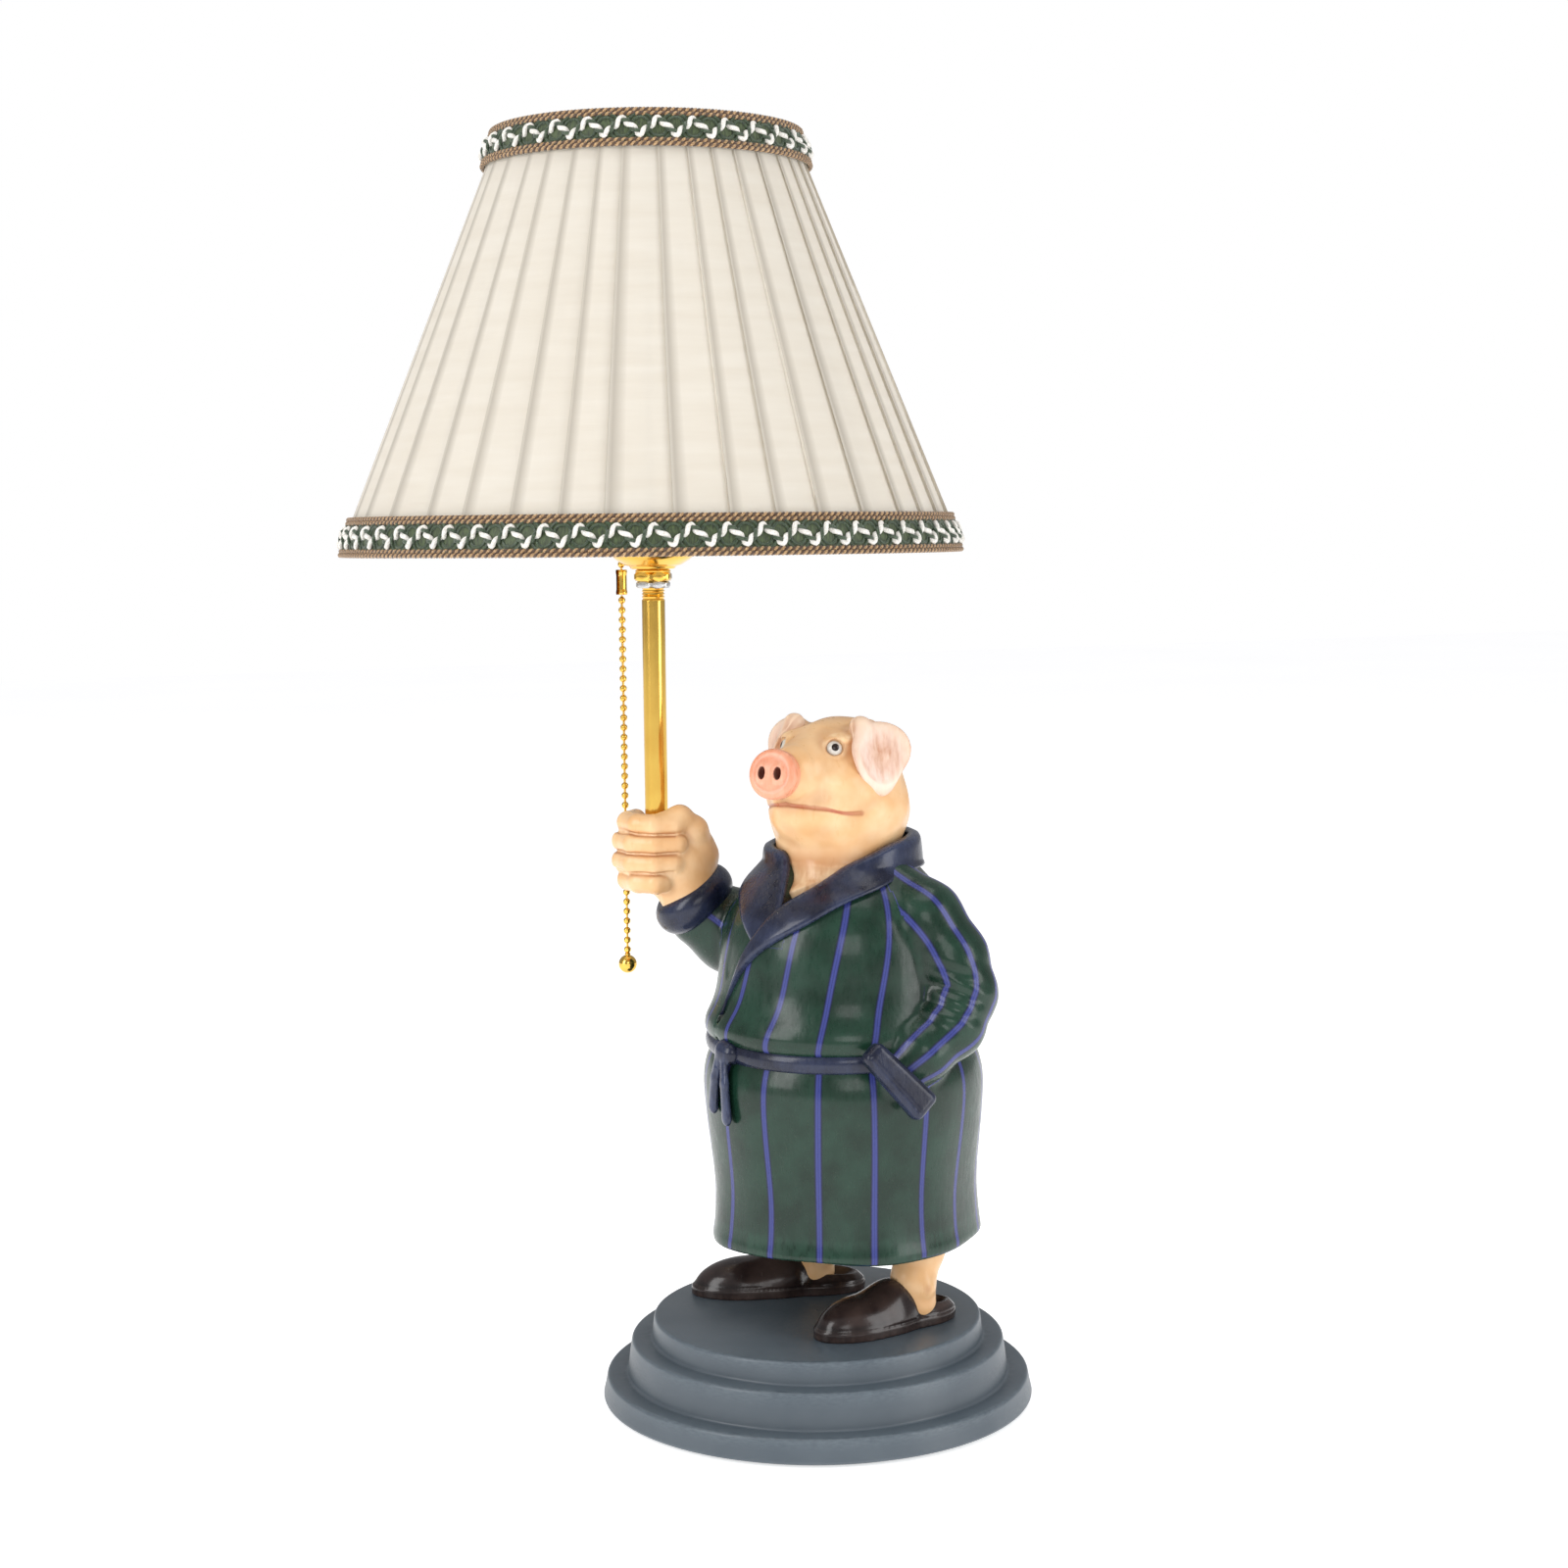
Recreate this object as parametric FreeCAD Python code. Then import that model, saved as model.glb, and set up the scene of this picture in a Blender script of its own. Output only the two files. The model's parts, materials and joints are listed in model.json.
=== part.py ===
import math
import os

from FreeCAD import Matrix, Vector
import Part

# Figural pig table lamp with a pull chain. Millimetres, +Z up, origin at the centre of the base's
# underside. The pig faces -Y, so its left hand is on +X.

# Base: three turned steps, (foot radius, top radius, top height) of each.
FELT_THICK = 1.5
FELT_RADIUS = 89.0
STEPS = [(93.3, 91.4, 11.7), (82.7, 80.6, 27.0), (72.0, 70.8, 36.6)]
COVE = 1.2
EDGE_ROUND = 1.4
BASE_TOP = STEPS[-1][2]
CAVITY_R = 30.0
CAVITY_TOP = 20.0
SCREW_PLACES = ((34.0, 4.0), (-40.0, -20.0))
SCREW_R = 2.5
SCREW_HEAD_R = 5.0
SCREW_TOP = 44.0

# Bush for the supply cord, in the side of the lowest step on -X.
BUSH_Z = 6.3
BUSH_INSET = 0.6
BUSH_BORE_R = 3.1
BUSH_R = 3.9
BUSH_FLANGE_R = 4.6
BUSH_FLANGE_THICK = 2.0
BUSH_LENGTH = 16.0

# Wire channel through the casting: from the fist, by elbow and body, down the left leg.
CHANNEL_R = 3.5
CHANNEL_ELBOW = Vector(-38.0, -10.0, 188.0)
CHANNEL_BODY = Vector(8.0, 14.0, 150.0)
CHANNEL_LEG = Vector(31.0, 34.0, 72.0)
CHANNEL_LEVEL = 16.0
CHANNEL_END = Vector(10.0, 12.0, CHANNEL_LEVEL)

# Lamp column and lampholder share this vertical axis.
POLE_X = -50.5
POLE_Y = -51.4
POLE_R = 5.0
POLE_BORE_R = 3.9
POLE_BOTTOM = 228.0
POLE_TOP = 366.0
INSERT_R = 7.0
INSERT_Z = (226.0, 250.0)
NUT_Z = (350.8, 353.8)
NUT_ACROSS = 14.0
NECK_Z = (353.8, 359.0)
NECK_ACROSS = 15.5
CAP_Z = (359.0, 376.0)
CAP_R = 18.7
SHELL_R = 17.7
SHELL_Z = (366.5, 404.0)
MOUTH_R = 15.2
MOUTH_TOP = 416.0
WALL = 0.7
CORE_R = 15.6
CORE_Z = (371.0, 389.0)
SCREW_SHELL_R = 13.8
SCREW_SHELL_Z = (389.0, 412.0)
BULB_CAP_R = 13.1
BULB_CAP_TOP = 417.0
BULB_R = 30.0
BULB_CENTRE_Z = 462.0
RUN_GAP = 0.05
LEVER_Z = 384.0
LEVER_ARM = 7.0
LEVER_PIN_REACH = 7.0
LEVER_PIN_R = 0.9
LEVER_THICK = 2.0
LEVER_WIDE = 2.4
SLOT_WIDE = 5.0
TERMINAL_Z = 377.0
TERMINAL_SWING = 110.0
TERMINAL_R = 1.75
TERMINAL_REACH = (9.0, 13.2, 15.2)
TERMINAL_HEAD_R = 3.0

# Pull chain.
CHAIN_AZIMUTH = 190.5
CHAIN_REACH = 25.8
SPOUT_BEND_R = 5.5
SPOUT_R = 3.2
SPOUT_MOUTH_Z = 378.5
BEAD_R = 1.6
BEAD_PITCH = 4.3
CHAIN_WIRE_R = 0.45
PIVOT_Z = 379.0
COUPLING_Z = (347.5, 358.5)
COUPLING_R = 2.4
BALL_R = 4.1
BALL_Z = 182.5

# Shade: (radius, height) of the fabric's outer face, from the bottom edge to the top edge.
SHADE_PROFILE = [(132.4, 365.6), (127.9, 382.5), (69.0, 528.3), (64.6, 544.0)]
FABRIC_THICK = 1.0
LINING_THICK = 0.6
BRAID_THICK = 1.7
RING_WIRE_R = 1.3
RIB_WIRE_R = 1.0
RIB_COUNT = 8
RIB_START = 22.5
ARM_AZIMUTHS = (90.0, 210.0, 330.0)
FITTER_R = (15.5, 20.0)
FITTER_THICK = 1.5
RING_NUT_R = 19.0
RING_NUT_THICK = 5.5

# Figure.
BODY_X = 5.0
BODY_Y = 11.0
HEM_Z = 72.0
BELT_Z = 157.5
BELT_HALF = 4.0
HEAD_TURN = 27.0
HEAD = Vector(5.0, 10.0, 267.0)
FACE = Vector(math.sin(math.radians(HEAD_TURN)), -math.cos(math.radians(HEAD_TURN)), 0.0)
FACE_SIDE = Vector(-FACE.y, FACE.x, 0.0)
SNOUT = Vector(25.1, -31.3, 274.7)
FIST = Vector(POLE_X + 0.6, POLE_Y + 1.6, 236.5)
FIST_TURN = 25.0
FINGERS = 4
FINGER_TOP_Z = 248.0
FINGER_PITCH = 9.2
UP = Vector(0.0, 0.0, 1.0)
LEG_LEFT = (31.0, 34.0)
LEG_RIGHT = (-27.0, 16.0)

# Slippers: heel, toe and half width.
SLIPPER_LEFT = (Vector(30, 48, 0), Vector(38, -17, 0), 13.0)
SLIPPER_RIGHT = (Vector(-22, 30, 0), Vector(-46, -38, 0), 13.5)
SECTION_POINTS = 12


def on_pole(z):
    return Vector(POLE_X, POLE_Y, z)


def polar(radius, azimuth, z):
    """A point at a radius and azimuth about the lamp column's axis."""
    turn = math.radians(azimuth)
    return Vector(POLE_X + radius * math.cos(turn), POLE_Y + radius * math.sin(turn), z)


def revolve(points, centre=Vector(0, 0, 0), sweep=360.0, start=0.0):
    """Turn a closed (radius, height) outline about a vertical axis, from a start angle through a sweep."""
    corners = [Vector(r, 0, z) for r, z in points]
    face = Part.Face(Part.makePolygon(corners + corners[:1]))
    solid = face.revolve(Vector(0, 0, 0), UP, sweep)
    solid.rotate(Vector(0, 0, 0), UP, start)
    solid.translate(centre)
    return solid


def tube(outer, inner, low, high, centre=Vector(POLE_X, POLE_Y, 0)):
    return revolve([(inner, low), (outer, low), (outer, high), (inner, high)], centre)


def disc(radius, low, high, centre=Vector(POLE_X, POLE_Y, 0)):
    return Part.makeCylinder(radius, high - low, centre + UP * low)


def rod(start, end, radius):
    return Part.makeCylinder(radius, (end - start).Length, start, end - start)


def hexagon(across, low, high):
    """A hexagonal prism on the lamp column, with its top and bottom corners turned off."""
    corner_r = across / 2 / math.cos(math.pi / 6)
    corners = [polar(corner_r, 60 * k + 15, low) for k in range(6)]
    prism = Part.Face(Part.makePolygon(corners + corners[:1])).extrude(UP * (high - low))
    chamfer = (corner_r - across / 2) * 0.8
    blank = revolve([(0, low), (across / 2, low), (corner_r, low + chamfer), (corner_r, high - chamfer),
                     (across / 2, high), (0, high)], on_pole(0))
    return prism.common(blank)


def section(centre, along_u, along_v, half_u, half_v):
    """A closed smooth oval in the plane of two directions."""
    points = []
    for k in range(SECTION_POINTS):
        turn = 2 * math.pi * k / SECTION_POINTS
        points.append(centre + along_u * (half_u * math.cos(turn)) + along_v * (half_v * math.sin(turn)))
    curve = Part.BSplineCurve()
    curve.interpolate(Points=points, PeriodicFlag=True)
    return Part.Wire(curve.toShape())


def stacked(stations):
    """Loft level ovals, each given as (x, y, z, half width, half depth)."""
    x_dir, y_dir = Vector(1, 0, 0), Vector(0, 1, 0)
    wires = [section(Vector(x, y, z), x_dir, y_dir, rx, ry) for x, y, z, rx, ry in stations]
    return Part.makeLoft(wires, True, False)


def limb(stations, broad=None):
    """Loft ovals square to a path. A station is (x, y, z, half width, half height).

    The width lies along the direction broad, or level where none is given."""
    centres = [Vector(*s[:3]) for s in stations]
    wires = []
    for k, (x, y, z, half_side, half_up) in enumerate(stations):
        ahead = centres[min(k + 1, len(centres) - 1)]
        behind = centres[max(k - 1, 0)]
        along = (ahead - behind).normalize()
        side = along.cross(UP) if broad is None else broad - along * along.dot(broad)
        side = side.normalize()
        wires.append(section(centres[k], side, side.cross(along), half_side, half_up))
    return Part.makeLoft(wires, True, False)


def ellipsoid(centre, along_u, along_v, along_w, half_u, half_v, half_w):
    """A ball stretched along three square directions."""
    u, v, w = along_u * half_u, along_v * half_v, along_w * half_w
    shape = Matrix(u.x, v.x, w.x, centre.x, u.y, v.y, w.y, centre.y, u.z, v.z, w.z, centre.z, 0, 0, 0, 1)
    return Part.makeSphere(1.0).transformGeometry(shape)


def base_plinth():
    outline = [(0, FELT_THICK)]
    floor = FELT_THICK
    for foot_r, top_r, top_z in STEPS:
        outline += [(foot_r, floor), (foot_r, floor + COVE), (foot_r - COVE, floor + 2 * COVE),
                    (top_r, top_z - EDGE_ROUND), (top_r - EDGE_ROUND * 0.3, top_z - EDGE_ROUND * 0.3),
                    (top_r - EDGE_ROUND, top_z)]
        floor = top_z
    outline[1] = (STEPS[0][0] - EDGE_ROUND, FELT_THICK)
    outline.append((0, BASE_TOP))
    solid = revolve(outline)
    cavity = Part.makeCylinder(CAVITY_R, CAVITY_TOP - FELT_THICK, Vector(0, 0, FELT_THICK))
    tunnel = rod(Vector(-CAVITY_R + BUSH_R, 0, BUSH_Z), bush_face(1.0), BUSH_R)
    turn_in = Vector(CHANNEL_LEG.x, CHANNEL_LEG.y, CHANNEL_LEVEL)
    riser = rod(turn_in - UP * CHANNEL_R, turn_in + UP * BASE_TOP, CHANNEL_R)
    link = rod(turn_in, CHANNEL_END, CHANNEL_R)
    solid = solid.cut(cavity).cut(tunnel).cut(bush_flange()).cut(riser).cut(link)
    for screw in figure_screws():
        solid = solid.cut(screw)
    return solid


def felt_pad():
    return Part.makeCylinder(FELT_RADIUS, FELT_THICK, Vector(0, 0, 0))


def bush_face(out):
    """The middle of the bush's seat in the lowest step, or a point that far out from it."""
    return Vector(BUSH_INSET - STEPS[0][0] - out, 0, BUSH_Z)


def bush_flange():
    return rod(bush_face(0), bush_face(BUSH_FLANGE_THICK), BUSH_FLANGE_R)


def cord_bush():
    """A flanged sleeve for the supply cord."""
    sleeve = rod(bush_face(-BUSH_LENGTH), bush_face(0), BUSH_R)
    bore = rod(bush_face(-BUSH_LENGTH - 1), bush_face(BUSH_FLANGE_THICK + 1), BUSH_BORE_R)
    return sleeve.fuse(bush_flange()).cut(bore)


def figure_screws():
    """Countersunk screws up through the plinth into each slipper."""
    rim = FELT_THICK + SCREW_R
    taper = SCREW_HEAD_R - SCREW_R
    outline = [(0, FELT_THICK), (SCREW_HEAD_R, FELT_THICK), (SCREW_HEAD_R, rim), (SCREW_R, rim + taper),
               (SCREW_R, SCREW_TOP), (0, SCREW_TOP)]
    return [revolve(outline, Vector(x, y, 0)) for x, y in SCREW_PLACES]


def robe_body():
    """The torso and skirt of the dressing gown, round in plan and drawn in at the belt."""
    half = [(HEM_Z, 57.0, 56.5), (78.0, 57.2, 56.8), (101.0, 56.4, 56.0), (124.0, 59.0, 58.4),
            (140.0, 60.2, 59.4), (150.0, 58.6, 58.0), (BELT_Z, 56.0, 55.6), (164.0, 58.0, 58.2),
            (174.0, 55.0, 55.0), (188.0, 53.0, 52.4), (204.0, 51.4, 50.0), (215.0, 47.5, 45.5),
            (226.0, 39.0, 37.0), (236.0, 30.0, 29.0)]
    return stacked([(BODY_X, BODY_Y, z, rx, ry) for z, rx, ry in half])


def shawl_collar():
    """One long band, up the right lapel, round the neck and down over to the belt on the left."""
    path = [(-4, -31, 204), (-19, -22, 219), (-29, 0, 230), (-24, 29, 239), (5, 43, 243), (34, 30, 241),
            (40, 6, 235), (30, -20, 225), (14, -35, 208), (2, -43, 190), (-4, -46.5, 174)]
    wide = [3, 7, 8, 8, 8, 8, 8, 8, 6.5, 4, 2]
    thick = [2, 4, 5, 5.5, 5.5, 5.5, 5.5, 5, 4, 2.5, 1.5]
    return limb([(x, y, z, t, w) for (x, y, z), w, t in zip(path, wide, thick)])


def belt():
    inner, outer = 50.0, 59.0
    low, high = BELT_Z - BELT_HALF, BELT_Z + BELT_HALF
    band = revolve([(inner, low), (outer - 1.2, low), (outer, low + 1.5), (outer, high - 1.5),
                    (outer - 1.2, high), (inner, high)], Vector(BODY_X, BODY_Y, 0))
    knot = ellipsoid(Vector(13.0, -47.5, BELT_Z), Vector(1, 0, 0), Vector(0, 1, 0), UP, 7.0, 4.8, 6.2)
    return band.fuse(knot)


def belt_ends():
    """The two ends of the tied belt hanging from the knot."""
    left = limb([(16, -49.5, 153.0, 2.6, 1.6), (18, -50.0, 142.0, 2.9, 1.6), (18.7, -49.6, 129.0, 3.2, 1.5)],
                Vector(1, 0, 0))
    right = limb([(10, -50.5, 153.0, 2.6, 1.6), (7.5, -51.0, 144.0, 2.9, 1.6), (6.0, -50.8, 133.0, 3.2, 1.5)],
                 Vector(1, 0, 0))
    return [left, right]


def sleeve_right():
    """The raised arm: from the shoulder down to the elbow and forward up to the cuff."""
    return limb([(-22, 10, 212, 16, 16), (-36, -3, 200, 18.5, 18.5), (-43, -19, 199, 18.5, 18),
                 (-47, -36.5, 210, 17, 16.5)])


def cuff_right():
    """A thick turned-back roll round the raised wrist."""
    return limb([(-44.5, -30, 203.0, 18.2, 17.8), (-45.0, -31.5, 204.8, 19.4, 19.0),
                 (-47.6, -38.5, 212.0, 19.6, 19.2), (-48.4, -40.2, 214.0, 18.0, 17.6)])


def sleeve_left():
    """The lowered arm: out to the elbow, then forward into the pocket."""
    return limb([(30, 20, 224, 13, 12), (43, 30, 212, 17, 16), (51, 38, 196, 16.5, 15.5),
                 (55, 41, 182, 15.5, 14.5), (59, 34, 170, 14.5, 13.5), (63, 20, 160, 13.0, 12.5),
                 (64.5, 10, 153, 12.5, 11.5)], Vector(1, 0, 0))


def cuff_left():
    """The cuff that meets the pocket, a slanted flattened ring."""
    return limb([(63.0, 15.0, 157.0, 13.0, 14.0), (64.0, 8.0, 152.5, 14.0, 15.0),
                 (64.5, 3.0, 149.0, 12.5, 14.0)], Vector(1, 0, 0))


def head():
    """Skull, muzzle and thick neck in one casting."""
    skull = ellipsoid(HEAD, FACE_SIDE, FACE, UP, 28.0, 30.0, 26.0)
    muzzle = limb([tuple(HEAD + FACE * 6) + (24.0, 21.0),
                   tuple(HEAD + FACE * 22 + UP * 2) + (18.5, 16.5),
                   tuple(HEAD + FACE * 36 + UP * 5) + (13.0, 12.5),
                   tuple(HEAD + FACE * 41 + UP * 6.2) + (11.4, 11.0)])
    neck = stacked([(BODY_X, BODY_Y, 222.0, 27.0, 27.0), (BODY_X, BODY_Y, 240.0, 26.5, 26.5),
                    (BODY_X, BODY_Y - 1, 256.0, 27.0, 27.5), (BODY_X, BODY_Y - 1, 268.0, 26.0, 27.0)])
    return skull.fuse(muzzle).fuse(neck)


def snout():
    centre = HEAD + FACE * 43.5 + UP * 7.5
    return ellipsoid(centre, FACE_SIDE, FACE, UP, 10.8, 4.2, 10.4)


def ear(side):
    """A flap that folds out and down from the top of the head, on side +1 (left) or -1 (right)."""
    root = HEAD + FACE_SIDE * (side * 17.0) + UP * 20.0 - FACE * 1.0
    out = (FACE_SIDE * side + FACE * 0.35 - UP * 0.15).normalize()
    broad = (FACE * 0.8 - FACE_SIDE * (side * 0.3) + UP * 0.2).normalize()
    path = [root - out * 3 - UP * 2, root + out * 5 + UP * 2.5, root + out * 13 - UP * 2,
            root + out * 18 - UP * 12, root + out * 19 - UP * 21]
    half_broad = [8.0, 12.0, 13.5, 11.0, 3.0]
    return limb([tuple(p) + (b, 2.2) for p, b in zip(path, half_broad)], broad)


def eye(side):
    centre = HEAD + FACE * 24.0 + FACE_SIDE * (side * 10.5) + UP * 15.0
    return Part.makeSphere(3.6, centre)


def fist_right():
    """A closed hand round the lamp tube: palm, four fingers and a thumb over the top."""
    across = Vector(math.cos(math.radians(FIST_TURN)), -math.sin(math.radians(FIST_TURN)), 0.0)
    toward = Vector(-across.y, across.x, 0.0)
    hand = ellipsoid(FIST + toward * 2.5, across, toward, UP, 17.5, 19.0, 20.0)
    for k in range(FINGERS):
        z = FINGER_TOP_Z - FINGER_PITCH * k
        spread = 17.0 - 1.2 * k
        finger = limb([tuple(on_pole(z) - across * 8 - toward * (spread - 4)) + (5.0, 5.0),
                       tuple(on_pole(z) + across * 1 - toward * spread) + (5.2, 5.2),
                       tuple(on_pole(z) + across * 11 - toward * (spread - 7)) + (5.2, 5.2),
                       tuple(on_pole(z) + across * 16 + toward * 1) + (5.0, 5.0),
                       tuple(on_pole(z) + across * 14 + toward * 9) + (4.4, 4.4)])
        hand = hand.fuse(finger)
    thumb = limb([tuple(on_pole(244) + toward * 15 + across * 2) + (6.0, 6.0),
                  tuple(on_pole(253) + toward * 12 + across * 4) + (6.0, 6.0),
                  tuple(on_pole(254) + toward * 2 + across * 10.5) + (5.2, 5.0),
                  tuple(on_pole(252) - toward * 5 + across * 12) + (4.0, 4.0)], across + toward)
    return hand.fuse(thumb)


def leg(x, y):
    """A bare shin from inside the slipper up into the skirt."""
    return limb([(x, y, 44.0, 10.0, 10.5), (x, y, 54.0, 9.3, 9.8), (x, y, 64.0, 10.4, 10.6),
                 (x, y, 78.0, 12.0, 12.0)], Vector(1, 0, 0))


def slipper(heel, toe, half_width):
    """An open-backed slipper on the plinth, high at the instep and low at the toe."""
    along = (toe - heel).normalize()
    length = (toe - heel).Length
    shape = [(0.0, 0.55, 5.0), (0.06, 0.80, 7.5), (0.25, 0.86, 9.5), (0.42, 0.94, 17.0),
             (0.58, 1.0, 19.0), (0.76, 1.0, 14.5), (0.92, 0.80, 10.0), (1.0, 0.40, 6.0)]
    stations = []
    for share, width, height in shape:
        centre = heel + along * (share * length)
        stations.append((centre.x, centre.y, BASE_TOP + height / 2, width * half_width, height / 2))
    return limb(stations)


def channel():
    """The wire's way through the casting, as straight drillings that meet."""
    stops = [on_pole(229.0), Vector(-46.0, -36.0, 210.0), CHANNEL_ELBOW, CHANNEL_BODY, CHANNEL_LEG,
             Vector(CHANNEL_LEG.x, CHANNEL_LEG.y, 30.0)]
    drills = []
    for start, end in zip(stops, stops[1:]):
        drills.append(rod(start, end, CHANNEL_R).fuse(Part.makeSphere(CHANNEL_R, end)))
    return drills


def lamp_pole():
    return tube(POLE_R, POLE_BORE_R, POLE_BOTTOM, POLE_TOP)


def fist_insert():
    return tube(INSERT_R, POLE_R, *INSERT_Z)


def pole_nut():
    return hexagon(NUT_ACROSS, *NUT_Z).cut(disc(POLE_R, NUT_Z[0] - 1, NUT_Z[1] + 1))


def neck_collar():
    return hexagon(NECK_ACROSS, *NECK_Z).cut(disc(POLE_R, NECK_Z[0] - 1, NECK_Z[1] + 1))


def socket_cap():
    low, high = CAP_Z
    outer = [(POLE_R, low), (10.0, low), (12.0, low + 1.6), (CAP_R - 1.5, low + 4.6), (CAP_R, low + 7.0),
             (CAP_R, high)]
    inner = [(CAP_R - WALL, high), (CAP_R - WALL, low + 7.3), (CAP_R - 2.2, low + 5.6), (11.6, low + 2.6),
             (9.6, low + 1.2), (POLE_R, low + 1.2)]
    return revolve(outer + inner, on_pole(0))


def socket_shell():
    low, high = SHELL_Z
    outer = [(SHELL_R - WALL, low + 3), (SHELL_R, low + 3), (SHELL_R, high - 1.5), (SHELL_R - 1.5, high),
             (MOUTH_R, high), (MOUTH_R, MOUTH_TOP)]
    inner = [(MOUTH_R - WALL, MOUTH_TOP), (MOUTH_R - WALL, high - WALL), (SHELL_R - 1.8, high - WALL),
             (SHELL_R - WALL, high - 1.8)]
    return revolve(outer + inner, on_pole(0)).cut(spout_way())


def spout_way():
    """The round way for the chain through shell, liner and cap."""
    return rod(polar(9.0, CHAIN_AZIMUTH, LEVER_Z), polar(SHELL_R + 1, CHAIN_AZIMUTH, LEVER_Z), SPOUT_R - WALL)


def insulating_liner():
    return tube(SHELL_R - WALL, CORE_R + 0.3, SHELL_Z[0] + 3, SHELL_Z[1] - 2.0).cut(spout_way())


def in_socket(shape):
    """Swing a piece drawn along +X into line with the chain's way out of the lampholder."""
    shape.rotate(Vector(0, 0, 0), UP, CHAIN_AZIMUTH)
    shape.translate(on_pole(0))
    return shape


def lever_slot():
    """The slot in the core that the switch lever swings in."""
    low = LEVER_Z - LEVER_ARM - 3.0
    corner = Vector(LEVER_PIN_REACH - 3.5, -SLOT_WIDE / 2, low)
    return in_socket(Part.makeBox(CORE_R, SLOT_WIDE, CORE_Z[1] + 1.0 - low, corner))


def socket_core():
    low, high = CORE_Z
    core = revolve([(0, low), (CORE_R, low), (CORE_R, high - 1), (CORE_R - 1, high), (0, high)], on_pole(0))
    return core.cut(lever_slot()).cut(lever_pin()).cut(terminal_holes())


def terminal_places():
    """For each terminal screw, its inner end, the underside of its head and the head's face."""
    azimuths = (CHAIN_AZIMUTH + TERMINAL_SWING, CHAIN_AZIMUTH - TERMINAL_SWING)
    return [[polar(reach, azimuth, TERMINAL_Z) for reach in TERMINAL_REACH] for azimuth in azimuths]


def terminal_holes():
    holes = []
    for inner, seat, face in terminal_places():
        clear = face + (face - inner).normalize() * 2
        holes.append(rod(inner, clear, TERMINAL_R).fuse(rod(seat, clear, TERMINAL_HEAD_R + 0.3)))
    return holes[0].fuse(holes[1])


def terminal_screws():
    return [rod(inner, seat, TERMINAL_R).fuse(rod(seat, face, TERMINAL_HEAD_R))
            for inner, seat, face in terminal_places()]


def lever_axis():
    turn = math.radians(CHAIN_AZIMUTH)
    return Vector(-math.sin(turn), math.cos(turn), 0.0)


def pin_centre():
    return polar(LEVER_PIN_REACH, CHAIN_AZIMUTH, LEVER_Z - LEVER_ARM)


def lever_pin():
    half = lever_axis() * SLOT_WIDE
    return rod(pin_centre() - half, pin_centre() + half, LEVER_PIN_R)


def switch_lever():
    """A flat arm that stands up on its pin, with the chain's end hooked near its tip."""
    foot = Vector(LEVER_PIN_REACH, 0, LEVER_Z - LEVER_ARM)
    side = Vector(0, LEVER_THICK / 2, 0)
    arm = Part.makeBox(LEVER_WIDE, LEVER_THICK, LEVER_ARM + 1.0, foot - side - Vector(LEVER_WIDE / 2, 0, 0))
    eye_disc = rod(foot - side, foot + side, 2.0)
    bore = rod(foot - side * 2, foot + side * 2, LEVER_PIN_R + RUN_GAP)
    hook_way = Vector(LEVER_WIDE, 0, 0)
    hook = rod(foot + UP * LEVER_ARM - hook_way, foot + UP * LEVER_ARM + hook_way, 0.6)
    return in_socket(arm.fuse(eye_disc).cut(bore).cut(hook))


def return_spring():
    """Coils round the lever's pin, beside the lever."""
    return [Part.makeTorus(1.4, 0.28, pin_centre() + lever_axis() * gap, lever_axis()) for gap in (1.58, 2.16)]


def screw_shell():
    low, high = SCREW_SHELL_Z
    return tube(SCREW_SHELL_R, BULB_CAP_R + RUN_GAP, low, high)


def centre_contact():
    return disc(3.0, CORE_Z[1], CORE_Z[1] + 1.0)


def bulb_base():
    low = SCREW_SHELL_Z[0] + 1.5
    return revolve([(0, low), (4.0, low), (4.0, low + 1.2), (9.5, low + 2.0), (BULB_CAP_R, low + 5.0),
                    (BULB_CAP_R, BULB_CAP_TOP), (0, BULB_CAP_TOP)], on_pole(0))


def bulb_glass():
    """A pear-shaped envelope: a ball drawn down to the screw cap."""
    points = [Vector(0, 0, BULB_CENTRE_Z + BULB_R)]
    neck = [(BULB_R * 0.72, BULB_CENTRE_Z + BULB_R * 0.70), (BULB_R, BULB_CENTRE_Z),
            (BULB_R * 0.80, BULB_CENTRE_Z - 19.0), (16.0, BULB_CENTRE_Z - 33.0), (12.6, BULB_CAP_TOP + 3)]
    points += [Vector(r, 0, z) for r, z in neck] + [Vector(12.4, 0, BULB_CAP_TOP)]
    side = Part.BSplineCurve()
    side.interpolate(Points=points, InitialTangent=Vector(1, 0, 0), FinalTangent=Vector(0, 0, -1))
    foot = Part.makePolygon([points[-1], Vector(0, 0, BULB_CAP_TOP), points[0]])
    face = Part.Face(Part.Wire([side.toShape()] + foot.Edges))
    solid = face.revolve(Vector(0, 0, 0), UP, 360)
    solid.translate(on_pole(0))
    return solid


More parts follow.
